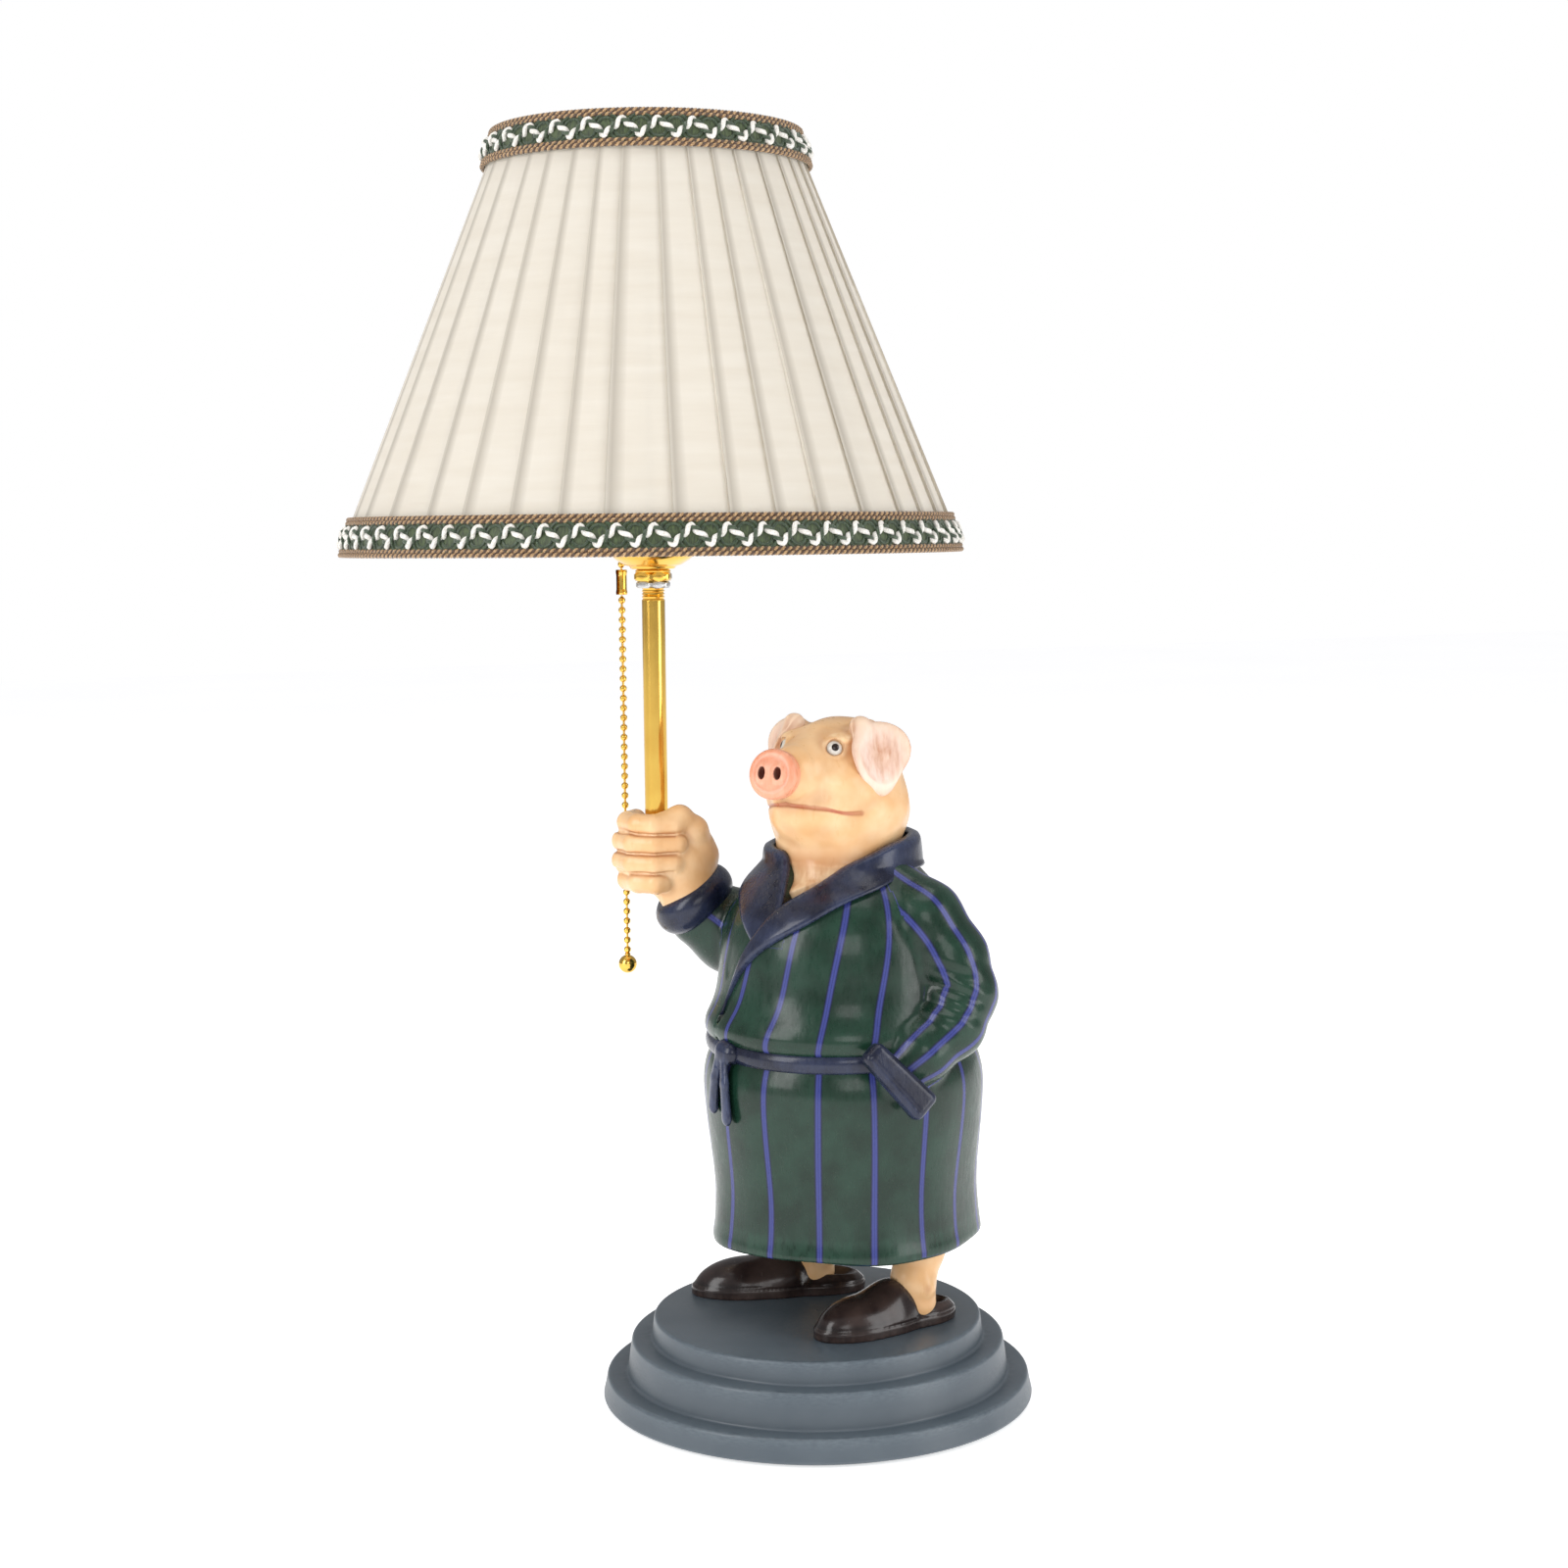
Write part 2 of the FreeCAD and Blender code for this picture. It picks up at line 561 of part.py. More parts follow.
def chain_spout():
    """A horn from the shell's side that turns down to a flared mouth."""
    inner_r = CHAIN_REACH - SPOUT_BEND_R
    bend = Part.makeTorus(SPOUT_BEND_R, SPOUT_R, Vector(0, 0, 0), Vector(0, 1, 0))
    hollow = Part.makeTorus(SPOUT_BEND_R, SPOUT_R - WALL, Vector(0, 0, 0), Vector(0, 1, 0))
    quarter = Part.makeBox(20, 20, 20, Vector(0, -10, 0))
    horn = bend.cut(hollow).common(quarter)
    low = SPOUT_MOUTH_Z - (LEVER_Z - SPOUT_BEND_R)
    mouth = revolve([(SPOUT_R - WALL, 0), (SPOUT_R, 0), (SPOUT_R + 0.3, low - 1.0), (SPOUT_R + 1.2, low - 2.0),
                     (SPOUT_R + 0.5, low - 2.0), (SPOUT_R - WALL + 0.3, low - 1.0)], Vector(SPOUT_BEND_R, 0, 0))
    stub_length = inner_r - SHELL_R
    stub_start, stub_end = Vector(-stub_length, 0, SPOUT_BEND_R), Vector(0, 0, SPOUT_BEND_R)
    stub = rod(stub_start, stub_end, SPOUT_R).cut(rod(stub_start, stub_end, SPOUT_R - WALL))
    horn = horn.fuse(stub).fuse(mouth)
    horn.translate(Vector(inner_r, 0, LEVER_Z - SPOUT_BEND_R))
    return in_socket(horn).cut(disc(SHELL_R, SHELL_Z[0], SHELL_Z[1]))


def chain_at(z):
    return polar(CHAIN_REACH, CHAIN_AZIMUTH, z)


def pull_link():
    """The last bead of the switch's own chain, in the spout's mouth."""
    wire = rod(chain_at(PIVOT_Z - 2.2), chain_at(PIVOT_Z), CHAIN_WIRE_R)
    return Part.makeSphere(BEAD_R, chain_at(PIVOT_Z)).fuse(wire)


def beads(top, bottom):
    """Beads strung on one wire between two heights."""
    count = int(round((top - bottom) / BEAD_PITCH))
    string = rod(chain_at(bottom), chain_at(top), CHAIN_WIRE_R)
    for k in range(count):
        string = string.fuse(Part.makeSphere(BEAD_R, chain_at(top - BEAD_PITCH * (k + 0.5))))
    return string


def chain_upper():
    return beads(PIVOT_Z - 2.5, COUPLING_Z[1])


def chain_coupling():
    """A folded clasp that joins the switch's chain to the long chain."""
    low, high = COUPLING_Z
    return revolve([(0, low), (COUPLING_R - 0.8, low), (COUPLING_R, low + 1.5), (COUPLING_R, high - 4.0),
                    (COUPLING_R * 0.7, high - 3.0), (COUPLING_R * 0.7, high), (0, high)], chain_at(0))


def chain_lower():
    return beads(COUPLING_Z[0] - 0.3, BALL_Z + BALL_R)


def chain_ball():
    return Part.makeSphere(BALL_R, chain_at(BALL_Z))


def shell_outline(outer_gap, thick, trim):
    """The outline of a shell that follows the fabric, set in from its face and trimmed at both edges."""
    low, high = SHADE_PROFILE[0][1] + trim, SHADE_PROFILE[-1][1] - trim
    heights = [low] + [z for _, z in SHADE_PROFILE[1:-1]] + [high]
    outer = [(fabric_radius(z) - outer_gap, z) for z in heights]
    inner = [(r - thick, z) for r, z in reversed(outer)]
    return outer + inner


def fabric_radius(z):
    """Radius of the fabric's outer face at a height."""
    for (r0, z0), (r1, z1) in zip(SHADE_PROFILE, SHADE_PROFILE[1:]):
        if z <= z1:
            return r0 + (r1 - r0) * (z - z0) / (z1 - z0)
    return SHADE_PROFILE[-1][0]


def shade_fabric():
    return revolve(shell_outline(0.0, FABRIC_THICK, 0.0), on_pole(0))


def shade_lining():
    """The lining's gores, one between each rib and the next."""
    outline = shell_outline(FABRIC_THICK, LINING_THICK, 1.0)
    width = 360.0 / RIB_COUNT
    return [revolve(outline, on_pole(0), width, RIB_START + width * k) for k in range(RIB_COUNT)]


def braid_bottom():
    (r0, z0), (r1, z1) = SHADE_PROFILE[:2]
    return revolve([(r0, z0), (r0 + BRAID_THICK, z0), (r1 + BRAID_THICK, z1), (r1, z1)], on_pole(0))


def braid_top():
    (r0, z0), (r1, z1) = SHADE_PROFILE[2:]
    return revolve([(r0, z0), (r0 + BRAID_THICK, z0), (r1 + BRAID_THICK, z1), (r1, z1)], on_pole(0))


def frame_radius(z):
    """Radius of the wire frame's centre line at a height, just inside the lining."""
    return fabric_radius(z) - FABRIC_THICK - LINING_THICK - RING_WIRE_R * 1.12 - 0.1


def ring_heights():
    return SHADE_PROFILE[0][1] + 3.5, SHADE_PROFILE[-1][1] - 3.5


def shade_ring(z):
    return Part.makeTorus(frame_radius(z), RING_WIRE_R, on_pole(z), UP)


def shade_rib(azimuth):
    """One bent wire from the bottom ring to the top ring, behind a seam of the lining."""
    low, high = ring_heights()
    heights = [low, SHADE_PROFILE[1][1], SHADE_PROFILE[2][1], high]
    bends = [polar(frame_radius(z), azimuth, z) for z in heights]
    rib = rod(bends[0], bends[1], RIB_WIRE_R)
    for start, end in zip(bends[1:], bends[2:]):
        rib = rib.fuse(Part.makeSphere(RIB_WIRE_R, start)).fuse(rod(start, end, RIB_WIRE_R))
    return rib


def shade_ribs():
    return [shade_rib(RIB_START + 360.0 * k / RIB_COUNT) for k in range(RIB_COUNT)]


def fitter_ring():
    low = SHELL_Z[1]
    return tube(FITTER_R[1], FITTER_R[0], low, low + FITTER_THICK)


def fitter_arms():
    low = ring_heights()[0]
    start = FITTER_R[1] - 0.5
    return [rod(polar(start, a, SHELL_Z[1] + FITTER_THICK / 2), polar(frame_radius(low), a, low), RING_WIRE_R)
            for a in ARM_AZIMUTHS]


def ring_nut():
    low = SHELL_Z[1] + FITTER_THICK
    return tube(RING_NUT_R, MOUTH_R, low, low + RING_NUT_THICK)


def figure():
    """The pig's castings, each cut back where a nearer casting already is."""
    insert = fist_insert()
    pole = disc(POLE_R, POLE_BOTTOM - 2, POLE_TOP)
    parts = {
        "eye_left": eye(1),
        "eye_right": eye(-1),
        "snout": snout(),
        "head": head(),
        "ear_left": ear(1),
        "ear_right": ear(-1),
        "shawl_collar": shawl_collar(),
        "fist_right": fist_right().cut(insert).cut(pole),
        "cuff_right": cuff_right(),
        "cuff_left": cuff_left(),
        "belt": belt(),
        "belt_ends": Part.makeCompound(belt_ends()),
        "sleeve_right": sleeve_right(),
        "sleeve_left": sleeve_left(),
        "robe_body": robe_body(),
        "slipper_left": slipper(*SLIPPER_LEFT),
        "slipper_right": slipper(*SLIPPER_RIGHT),
        "leg_left": leg(*LEG_LEFT),
        "leg_right": leg(*LEG_RIGHT),
    }
    done = {}
    for name, solid in parts.items():
        for other in done.values():
            solid = solid.cut(other)
        done[name] = solid
    drills = channel()
    screws = figure_screws()
    for name in ("fist_right", "cuff_right", "sleeve_right", "robe_body", "leg_left", "slipper_left"):
        for drill in drills:
            done[name] = done[name].cut(drill)
    for name, screw in zip(("slipper_left", "slipper_right"), screws):
        done[name] = done[name].cut(screw)
    return done


def whole():
    low_ring, high_ring = ring_heights()
    nodes = {
        "base_plinth": base_plinth(),
        "felt_pad": felt_pad(),
        "cord_bush": cord_bush(),
        "figure_screws": Part.makeCompound(figure_screws()),
        "fist_insert": fist_insert(),
        "lamp_pole": lamp_pole(),
        "pole_nut": pole_nut(),
        "neck_collar": neck_collar(),
        "socket_cap": socket_cap(),
        "socket_shell": socket_shell(),
        "insulating_liner": insulating_liner(),
        "socket_core": socket_core(),
        "terminal_screws": Part.makeCompound(terminal_screws()),
        "lever_pin": lever_pin(),
        "switch_lever": switch_lever(),
        "return_spring": Part.makeCompound(return_spring()),
        "screw_shell": screw_shell(),
        "centre_contact": centre_contact(),
        "chain_spout": chain_spout(),
        "ring_nut": ring_nut(),
        "bulb_base": bulb_base(),
        "bulb_glass": bulb_glass(),
        "pull_link": pull_link(),
        "chain_upper": chain_upper(),
        "chain_coupling": chain_coupling(),
        "chain_lower": chain_lower(),
        "chain_ball": chain_ball(),
        "shade_fabric": shade_fabric(),
        "shade_lining": Part.makeCompound(shade_lining()),
        "braid_bottom": braid_bottom(),
        "braid_top": braid_top(),
        "shade_bottom_ring": shade_ring(low_ring),
        "shade_top_ring": shade_ring(high_ring),
        "shade_ribs": Part.makeCompound(shade_ribs()),
        "fitter_ring": fitter_ring(),
        "fitter_arms": Part.makeCompound(fitter_arms()),
    }
    nodes.update(figure())
    return nodes


os.makedirs("parts", exist_ok=True)
for node, shape in whole().items():
    shape.exportStep("parts/" + node + ".step")
    print(node, len(shape.Solids), round(shape.Volume), shape.isValid())
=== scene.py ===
import json
import math
from functools import reduce

import bmesh
import bpy
import numpy as np
import openvdb
from mathutils import Matrix, Vector


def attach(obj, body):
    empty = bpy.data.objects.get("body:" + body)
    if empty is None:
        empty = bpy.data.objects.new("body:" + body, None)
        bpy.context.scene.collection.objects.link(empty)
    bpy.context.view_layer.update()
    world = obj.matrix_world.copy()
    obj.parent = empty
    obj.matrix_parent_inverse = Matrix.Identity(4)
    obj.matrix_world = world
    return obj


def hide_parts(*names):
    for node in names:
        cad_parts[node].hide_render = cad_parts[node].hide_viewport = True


# A table lamp carried by a standing pig in a dressing gown. Lengths are in millimetres until a piece
# is made. +Z is up, and the pig faces -Y. Angles about the body and the column start at +X.

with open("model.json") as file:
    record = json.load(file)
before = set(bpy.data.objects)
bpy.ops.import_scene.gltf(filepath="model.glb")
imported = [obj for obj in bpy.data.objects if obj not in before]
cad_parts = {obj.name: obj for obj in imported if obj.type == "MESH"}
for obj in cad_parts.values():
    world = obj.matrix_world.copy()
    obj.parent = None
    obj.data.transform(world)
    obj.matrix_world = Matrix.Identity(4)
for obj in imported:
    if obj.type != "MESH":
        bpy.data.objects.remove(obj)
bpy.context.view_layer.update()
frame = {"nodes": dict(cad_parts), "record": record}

MM = 0.001
POLE = np.array((-50.5, -51.4))
BODY = np.array((5.0, 11.0))
SEED = 11

TOWARD_CAMERA = np.array((0.906, -0.423, 0.0))
IMAGE_RIGHT = np.array((0.423, 0.906, 0.0))
UP = np.array((0.0, 0.0, 1.0))


# ---------------------------------------------------------------- meshes


def grid_faces(rows, columns, wrap_rows=False, wrap_columns=True):
    """The quads of a grid of points stored row by row."""
    row = np.arange(rows if wrap_rows else rows - 1)[:, None]
    column = np.arange(columns if wrap_columns else columns - 1)[None, :]
    next_row = (row + 1) % rows
    next_column = (column + 1) % columns
    corners = [
        row * columns + column,
        row * columns + next_column,
        next_row * columns + next_column,
        next_row * columns + column,
    ]
    return np.stack(corners, -1).reshape(-1, 4)


def circle(count):
    """Angles evenly spaced round a full turn."""
    return np.linspace(0, 2 * math.pi, count, endpoint=False)


def polar(centre, turn, radius, height):
    """Points at these angles, reaches and heights about an upright axis."""
    x = centre[0] + radius * np.cos(turn)
    y = centre[1] + radius * np.sin(turn)
    return np.stack(np.broadcast_arrays(x, y, height), -1)


def unit(vectors):
    """The same directions with a length of 1."""
    vectors = np.asarray(vectors, float)
    return vectors / np.maximum(np.linalg.norm(vectors, axis=-1, keepdims=True), 1e-9)


def upright_axes(out):
    """Axes that point out, across and up along the face."""
    out = unit(out)
    across = unit(np.cross(UP, out))
    return out, across, np.cross(out, across)


def joined(parts):
    """Several (points, faces) as one."""
    points, faces, start = [], [], 0
    for some_points, some_faces in parts:
        points.append(some_points)
        faces.append(np.asarray(some_faces) + start)
        start += len(some_points)
    return np.concatenate(points), np.concatenate(faces)


def piece(name, shape, paint, replaces=(), body="lamp_body", marks=None, sharp=40.0):
    """A shown mesh in the row frame, from (points in mm, faces). Its slot is its paint's."""
    points, faces = shape
    mesh = bpy.data.meshes.new(name)
    mesh.from_pydata((np.asarray(points, float) * MM).tolist(), [], np.asarray(faces).tolist())
    build = bmesh.new()
    build.from_mesh(mesh)
    bmesh.ops.recalc_face_normals(build, faces=build.faces)
    build.to_mesh(mesh)
    build.free()
    mesh.shade_smooth()
    mesh.set_sharp_from_angle(angle=math.radians(sharp))
    for mark, values in (marks or {}).items():
        layer = mesh.attributes.new(mark, "FLOAT", "POINT")
        layer.data.foreach_set("value", np.asarray(values, np.float32))
    mesh.materials.append(PAINTS[paint])
    thing = bpy.data.objects.new(name, mesh)
    bpy.context.scene.collection.objects.link(thing)
    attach(thing, body)
    if replaces:
        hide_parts(*replaces)
    return thing


def rounded(corners, steps=5):
    """An outline of (radius, height, rounding) corners, each rounding turned into a small arc."""
    outline = []
    count = len(corners)
    for k, (radius, height, size) in enumerate(corners):
        here = np.array((radius, height))
        if not size:
            outline.append(here)
            continue
        back = np.array(corners[k - 1][:2]) - here
        ahead = np.array(corners[(k + 1) % count][:2]) - here
        start = here + back / np.linalg.norm(back) * size
        end = here + ahead / np.linalg.norm(ahead) * size
        for t in np.linspace(0, 1, steps):
            outline.append((1 - t) ** 2 * start + 2 * t * (1 - t) * here + t * t * end)
    return np.array(outline)


def lathe(outline, centre=POLE, segments=96, closed=True):
    """An outline of (radius, height) turned about a vertical axis."""
    radius, height = np.asarray(outline, float).T
    points = polar(centre, circle(segments), radius[:, None], height[:, None])
    return points.reshape(-1, 3), grid_faces(len(radius), segments, closed)


def tube(path, radius, sides=8, loop=False, flat=1.0):
    """A round or oval tube along a path. The radius is one number or one for each point."""
    path = np.asarray(path, float)
    if loop:
        along = np.roll(path, -1, 0) - np.roll(path, 1, 0)
    else:
        along = np.gradient(path, axis=0)
    along = unit(along)
    side = unit(np.cross(along, np.broadcast_to(UP, along.shape)))
    rise = np.cross(side, along)
    reach = np.broadcast_to(radius, len(path))[:, None, None]
    turn = circle(sides)[None, :, None]
    ring = side[:, None] * np.cos(turn) * flat + rise[:, None] * np.sin(turn)
    points = (path[:, None] + ring * reach).reshape(-1, 3)
    return points, grid_faces(len(path), sides, loop)


# ---------------------------------------------------------------- solids by distance


def grid(low, high, step):
    axes = [np.arange(a, b, step, dtype=np.float32) for a, b in zip(low, high)]
    return axes[0][:, None, None], axes[1][None, :, None], axes[2][None, None, :]


def ball(p, centre, radius):
    return np.sqrt(sum((a - c) ** 2 for a, c in zip(p, centre))) - radius


def turned(p, centre, axes):
    """Coordinates about a centre, along three axes."""
    offset = [a - c for a, c in zip(p, centre)]
    return [sum(float(w) * a for w, a in zip(axis, offset)) for axis in axes]


def oval(p, centre, radii, axes=None):
    q = turned(p, centre, np.eye(3) if axes is None else axes)
    near = np.sqrt(sum((a / r) ** 2 for a, r in zip(q, radii)))
    slope = np.sqrt(sum((a / r**2) ** 2 for a, r in zip(q, radii)))
    return near * (near - 1) / np.maximum(slope, 1e-6)


def rod(p, start, end, start_radius, end_radius):
    """A round bar that tapers from one ball to another."""
    start, line = np.asarray(start, float), np.subtract(end, start).astype(float)
    offset = [a - float(c) for a, c in zip(p, start)]
    share = sum(a * float(d) for a, d in zip(offset, line)) / float(line @ line)
    share = np.clip(share, 0, 1)
    gap = np.sqrt(sum((a - share * float(d)) ** 2 for a, d in zip(offset, line)))
    return gap - (start_radius + share * (end_radius - start_radius))


def merge(a, b, soft):
    """Both solids, with the corner between them filled."""
    share = np.clip(0.5 + 0.5 * (b - a) / soft, 0, 1)
    return b + (a - b) * share - soft * share * (1 - share)


def cut(a, b, soft):
    """The first solid less the second, with the edge softened."""
    return -merge(-a, b, soft)


def limb(p, stops, soft=2.0):
    """Tapered bars through (x, y, z, radius) stops."""
    bars = [rod(p, a[:3], b[:3], a[3], b[3]) for a, b in zip(stops, stops[1:])]
    return reduce(lambda a, b: merge(a, b, soft), bars)


def groove(p, solid, stops, radius, soft=0.8):
    """The solid with a line pressed in along stops on its surface."""
    line = reduce(np.minimum, [rod(p, a, b, radius, radius) for a, b in zip(stops, stops[1:])])
    return cut(solid, line, soft)


def settle(solid, points, depth=0.0):
    """The points moved to the solid's surface, or to a depth under it."""
    points = np.array(points, float)
    nudge = 0.3
    for _ in range(6):
        value = solid(points.T)
        slope = [(solid((points + nudge * e).T) - value) / nudge for e in np.eye(3)]
        points -= unit(np.stack(slope, -1)) * (value + depth)[:, None]
    return points


def curved(stops, count):
    """Points evenly spaced along a smooth line through the stops."""
    stops = np.asarray(stops, float)
    padded = np.vstack([2 * stops[0] - stops[1], stops, 2 * stops[-1] - stops[-2]])
    out = []
    for t in np.linspace(0, len(stops) - 1 - 1e-6, count):
        k, f = int(t), t - int(t)
        a, b, c, d = padded[k : k + 4]
        out.append(0.5 * (2 * b + (c - a) * f + (2 * a - 5 * b + 4 * c - d) * f**2
                          + (3 * b - a - 3 * c + d) * f**3))
    return np.array(out)


BAND = 14


def cad_distance(nodes, low, shape, step):
    """The distance to CAD nodes' own surfaces, on a grid."""
    points, faces, start = [], [], 0
    for node in nodes:
        mesh = frame["nodes"][node].data
        mesh.calc_loop_triangles()
        corners = np.zeros(len(mesh.vertices) * 3, np.float32)
        mesh.vertices.foreach_get("co", corners)
        triangles = np.zeros(len(mesh.loop_triangles) * 3, np.int32)
        mesh.loop_triangles.foreach_get("vertices", triangles)
        points.append(corners.reshape(-1, 3) / MM)
        faces.append(triangles.reshape(-1, 3) + start)
        start += len(mesh.vertices)
    scale = openvdb.createLinearTransform(voxelSize=step)
    level = openvdb.FloatGrid.createLevelSetFromPolygons(
        np.concatenate(points), triangles=np.concatenate(faces).astype(np.uint32),
        transform=scale, halfWidth=float(BAND))
    values = np.zeros(shape, np.float32)
    level.copyToArray(values, ijk=tuple(int(round(a / step)) for a in low))
    return values


def sampled(values, low, step, points):
    """A grid's values at points between its nodes."""
    place = (np.asarray(points) - low) / step
    place = np.clip(place, 0, np.array(values.shape) - 1.001)
    base = place.astype(int)
    part = place - base
    total = 0
    for corner in np.ndindex(2, 2, 2):
        share = np.prod(np.where(corner, part, 1 - part), axis=1)
        spot = base + corner
        total = total + share * values[spot[:, 0], spot[:, 1], spot[:, 2]]
    return total


def skin(values, low, step):
    """The surface of a solid given by its distances on a grid."""
    level = openvdb.FloatGrid(10.0)
    level.copyFromArray(np.ascontiguousarray(values, dtype=np.float32))
    points, _, quads = level.convertToPolygons(isovalue=0.0, adaptivity=0.0)
    return points * step + np.asarray(low), quads


SHADE_MARK_REACH = 3.5
FAR = 9.0


def shade_highlight_marks(values, low, step, points):
    """Marks for painted shade and painted highlight: how far each point lies in a hollow, where shade is
    painted, and how far out on a crest, where a highlight is painted.
    """
    slope = []
    for e in np.eye(3):
        ahead = sampled(values, low, step, points + e * step)
        slope.append(ahead - sampled(values, low, step, points - e * step))
    normal = unit(np.stack(slope, -1))
    outside = sampled(values, low, step, points + normal * SHADE_MARK_REACH)
    inside = sampled(values, low, step, points - normal * SHADE_MARK_REACH)
    return {
        "recess_shade": np.clip(1 - outside / SHADE_MARK_REACH, 0, 1),
        "ridge_highlight": np.clip(1 + inside / SHADE_MARK_REACH, 0, 1),
    }


def cast(name, solid, low, step, paint, replaces, more=None):
    """A shown piece from a solid's distances on a grid, with its painted shade and highlight marks and more
    of its own.
    """
    points, faces = skin(solid, low, step)
    marks = shade_highlight_marks(solid, low, step, points)
    if more:
        marks.update(more(points, marks))
    piece(name, (points, faces), paint, replaces, marks=marks, sharp=180.0)


# ---------------------------------------------------------------- materials


def colour(red, green, blue):
    """A linear colour from 0-255 screen values."""
    channel = [v / 255 for v in (red, green, blue)]
    return tuple(c / 12.92 if c < 0.04045 else ((c + 0.055) / 1.055) ** 2.4 for c in channel) + (1.0,)


def material(name, **sockets):
    """A new material, its node tree and its Principled shader with these sockets set."""
    made = bpy.data.materials.new(name)
    made.use_nodes = True
    shader = made.node_tree.nodes["Principled BSDF"]
    for socket, value in sockets.items():
        shader.inputs[socket.replace("_", " ")].default_value = value
    return made, made.node_tree, shader


def add(tree, kind, inputs=None, **settings):
    """A node, its settings, and its inputs given as values or as sockets to link."""
    node = tree.nodes.new(kind)
    for key, value in settings.items():
        setattr(node, key, value)
    for key, value in (inputs or {}).items():
        if isinstance(value, bpy.types.NodeSocket):
            tree.links.new(value, node.inputs[key])
        else:
            node.inputs[key].default_value = value
    return node


def place(tree, stretch=(1.0, 1.0, 1.0)):
    """The piece's own coordinates in millimetres, stretched along its axes."""
    where = add(tree, "ShaderNodeTexCoord")
    scale = tuple(s / MM for s in stretch)
    return add(tree, "ShaderNodeMapping", {"Vector": where.outputs["Object"], "Scale": scale}).outputs[0]


def noise(tree, size, stretch=(1.0, 1.0, 1.0), detail=3.0):
    """A noise from 0 to 1 with lumps of about this size in millimetres."""
    inputs = {"Vector": place(tree, stretch), "Scale": 1.0 / size, "Detail": detail}
    return add(tree, "ShaderNodeTexNoise", inputs).outputs["Fac"]


def calc(tree, operation, a, b=0.0):
    node = add(tree, "ShaderNodeMath", {0: a, 1: b}, operation=operation)
    return node.outputs[0]


def span(tree, value, low, high, out_low=0.0, out_high=1.0):
    inputs = {"Value": value, "From Min": low, "From Max": high, "To Min": out_low, "To Max": out_high}
    return add(tree, "ShaderNodeMapRange", inputs).outputs[0]


def blend(tree, share, first, second):
    node = add(tree, "ShaderNodeMix", {0: share, 6: first, 7: second}, data_type="RGBA")
    return node.outputs[2]


def mark(tree, name):
    return add(tree, "ShaderNodeAttribute", attribute_name=name).outputs["Fac"]


def relief(tree, height, depth, strength=1.0):
    """A bump of this depth in millimetres."""
    inputs = {"Height": height, "Distance": depth * MM, "Strength": strength}
    return add(tree, "ShaderNodeBump", inputs).outputs[0]


def wire(tree, shader, **sockets):
    for socket, source in sockets.items():
        tree.links.new(source, shader.inputs[socket.replace("_", " ")])


def metal_finish(name, base, dark, rough, grain=(1.0, 1.0, 1.0)):
    """Polished or rolled metal with faint handling marks."""
    made, tree, shader = material(name, Metallic=1.0)
    clouds = noise(tree, 14.0)
    scratches = noise(tree, 0.5, grain, 2.0)
    wire(tree, shader, Base_Color=blend(tree, span(tree, clouds, 0.3, 0.75, 0.0, 0.45), base, dark),
         Roughness=span(tree, scratches, 0.2, 0.8, rough * 0.8, rough * 1.25),
         Normal=relief(tree, scratches, 0.008, 0.3))
    return made


def moulded_finish(name, base, rough, grain_size=0.8, depth=0.03):
    """Moulded plastic, card or felt, by its grain."""
    made, tree, shader = material(name)
    grain = noise(tree, grain_size)
    darker = tuple(c * 0.72 for c in base[:3]) + (1.0,)
    wire(tree, shader, Base_Color=blend(tree, grain, darker, base),
         Roughness=span(tree, grain, 0.0, 1.0, rough * 0.85, rough * 1.1),
         Normal=relief(tree, grain, depth))
    return made


def plinth_finish():
    """Blue-grey satin paint, with a painted highlight along the turned edges."""
    made, tree, shader = material("plinth_paint", Coat_Weight=0.15, Coat_Roughness=0.3)
    strokes = noise(tree, 1.6, (0.6, 0.6, 2.4), 4.0)
    mottle = noise(tree, 34.0)
    base = blend(tree, span(tree, mottle, 0.3, 0.7), colour(68, 79, 88), colour(82, 92, 100))
    # Painted highlight along the step edges, broken by the strokes.
    edge_highlight = calc(tree, "MULTIPLY", mark(tree, "edge"), span(tree, strokes, 0.3, 0.75, 0.0, 0.35))
    wire(tree, shader, Base_Color=blend(tree, edge_highlight, base, colour(122, 134, 142)),
         Roughness=span(tree, strokes, 0.2, 0.8, 0.34, 0.52), Normal=relief(tree, strokes, 0.03, 0.4))
    return made


def casting_finish(name, base, deep, light, rough, stroke=2.4, lift=0.5):
    """Brushed gloss paint on cast resin, with painted shade (deep) in the recesses and painted highlights
    (light, as strong as lift) on the ridges.
    """
    made, tree, shader = material(name, Coat_Weight=0.22, Coat_Roughness=0.12, Specular_IOR_Level=0.3)
    strokes = noise(tree, stroke, (1.0, 1.0, 0.35), 4.0)
    clouds = noise(tree, 16.0)
    tone = blend(tree, span(tree, clouds, 0.38, 0.66), base, blend(tree, 0.45, base, light))
    # Painted shade: the recess mark darkens the tone toward deep.
    recess_shade = calc(tree, "MULTIPLY", span(tree, mark(tree, "recess_shade"), 0.05, 0.55), 0.9)
    # Painted highlight: the ridge mark, broken by the brush strokes, lightens the tone toward light.
    stroke_highlight = span(tree, strokes, 0.3, 0.7, 0.0, lift)
    ridge_highlight = calc(tree, "MULTIPLY", span(tree, mark(tree, "ridge_highlight"), 0.06, 0.5), stroke_highlight)
    tone = blend(tree, recess_shade, tone, deep)
    tone = blend(tree, ridge_highlight, tone, light)
    wire(tree, shader, Base_Color=tone, Roughness=span(tree, strokes, 0.25, 0.75, rough * 0.7, rough * 1.3),
         Normal=relief(tree, strokes, 0.16, 0.55))
    return made, tree, shader, tone


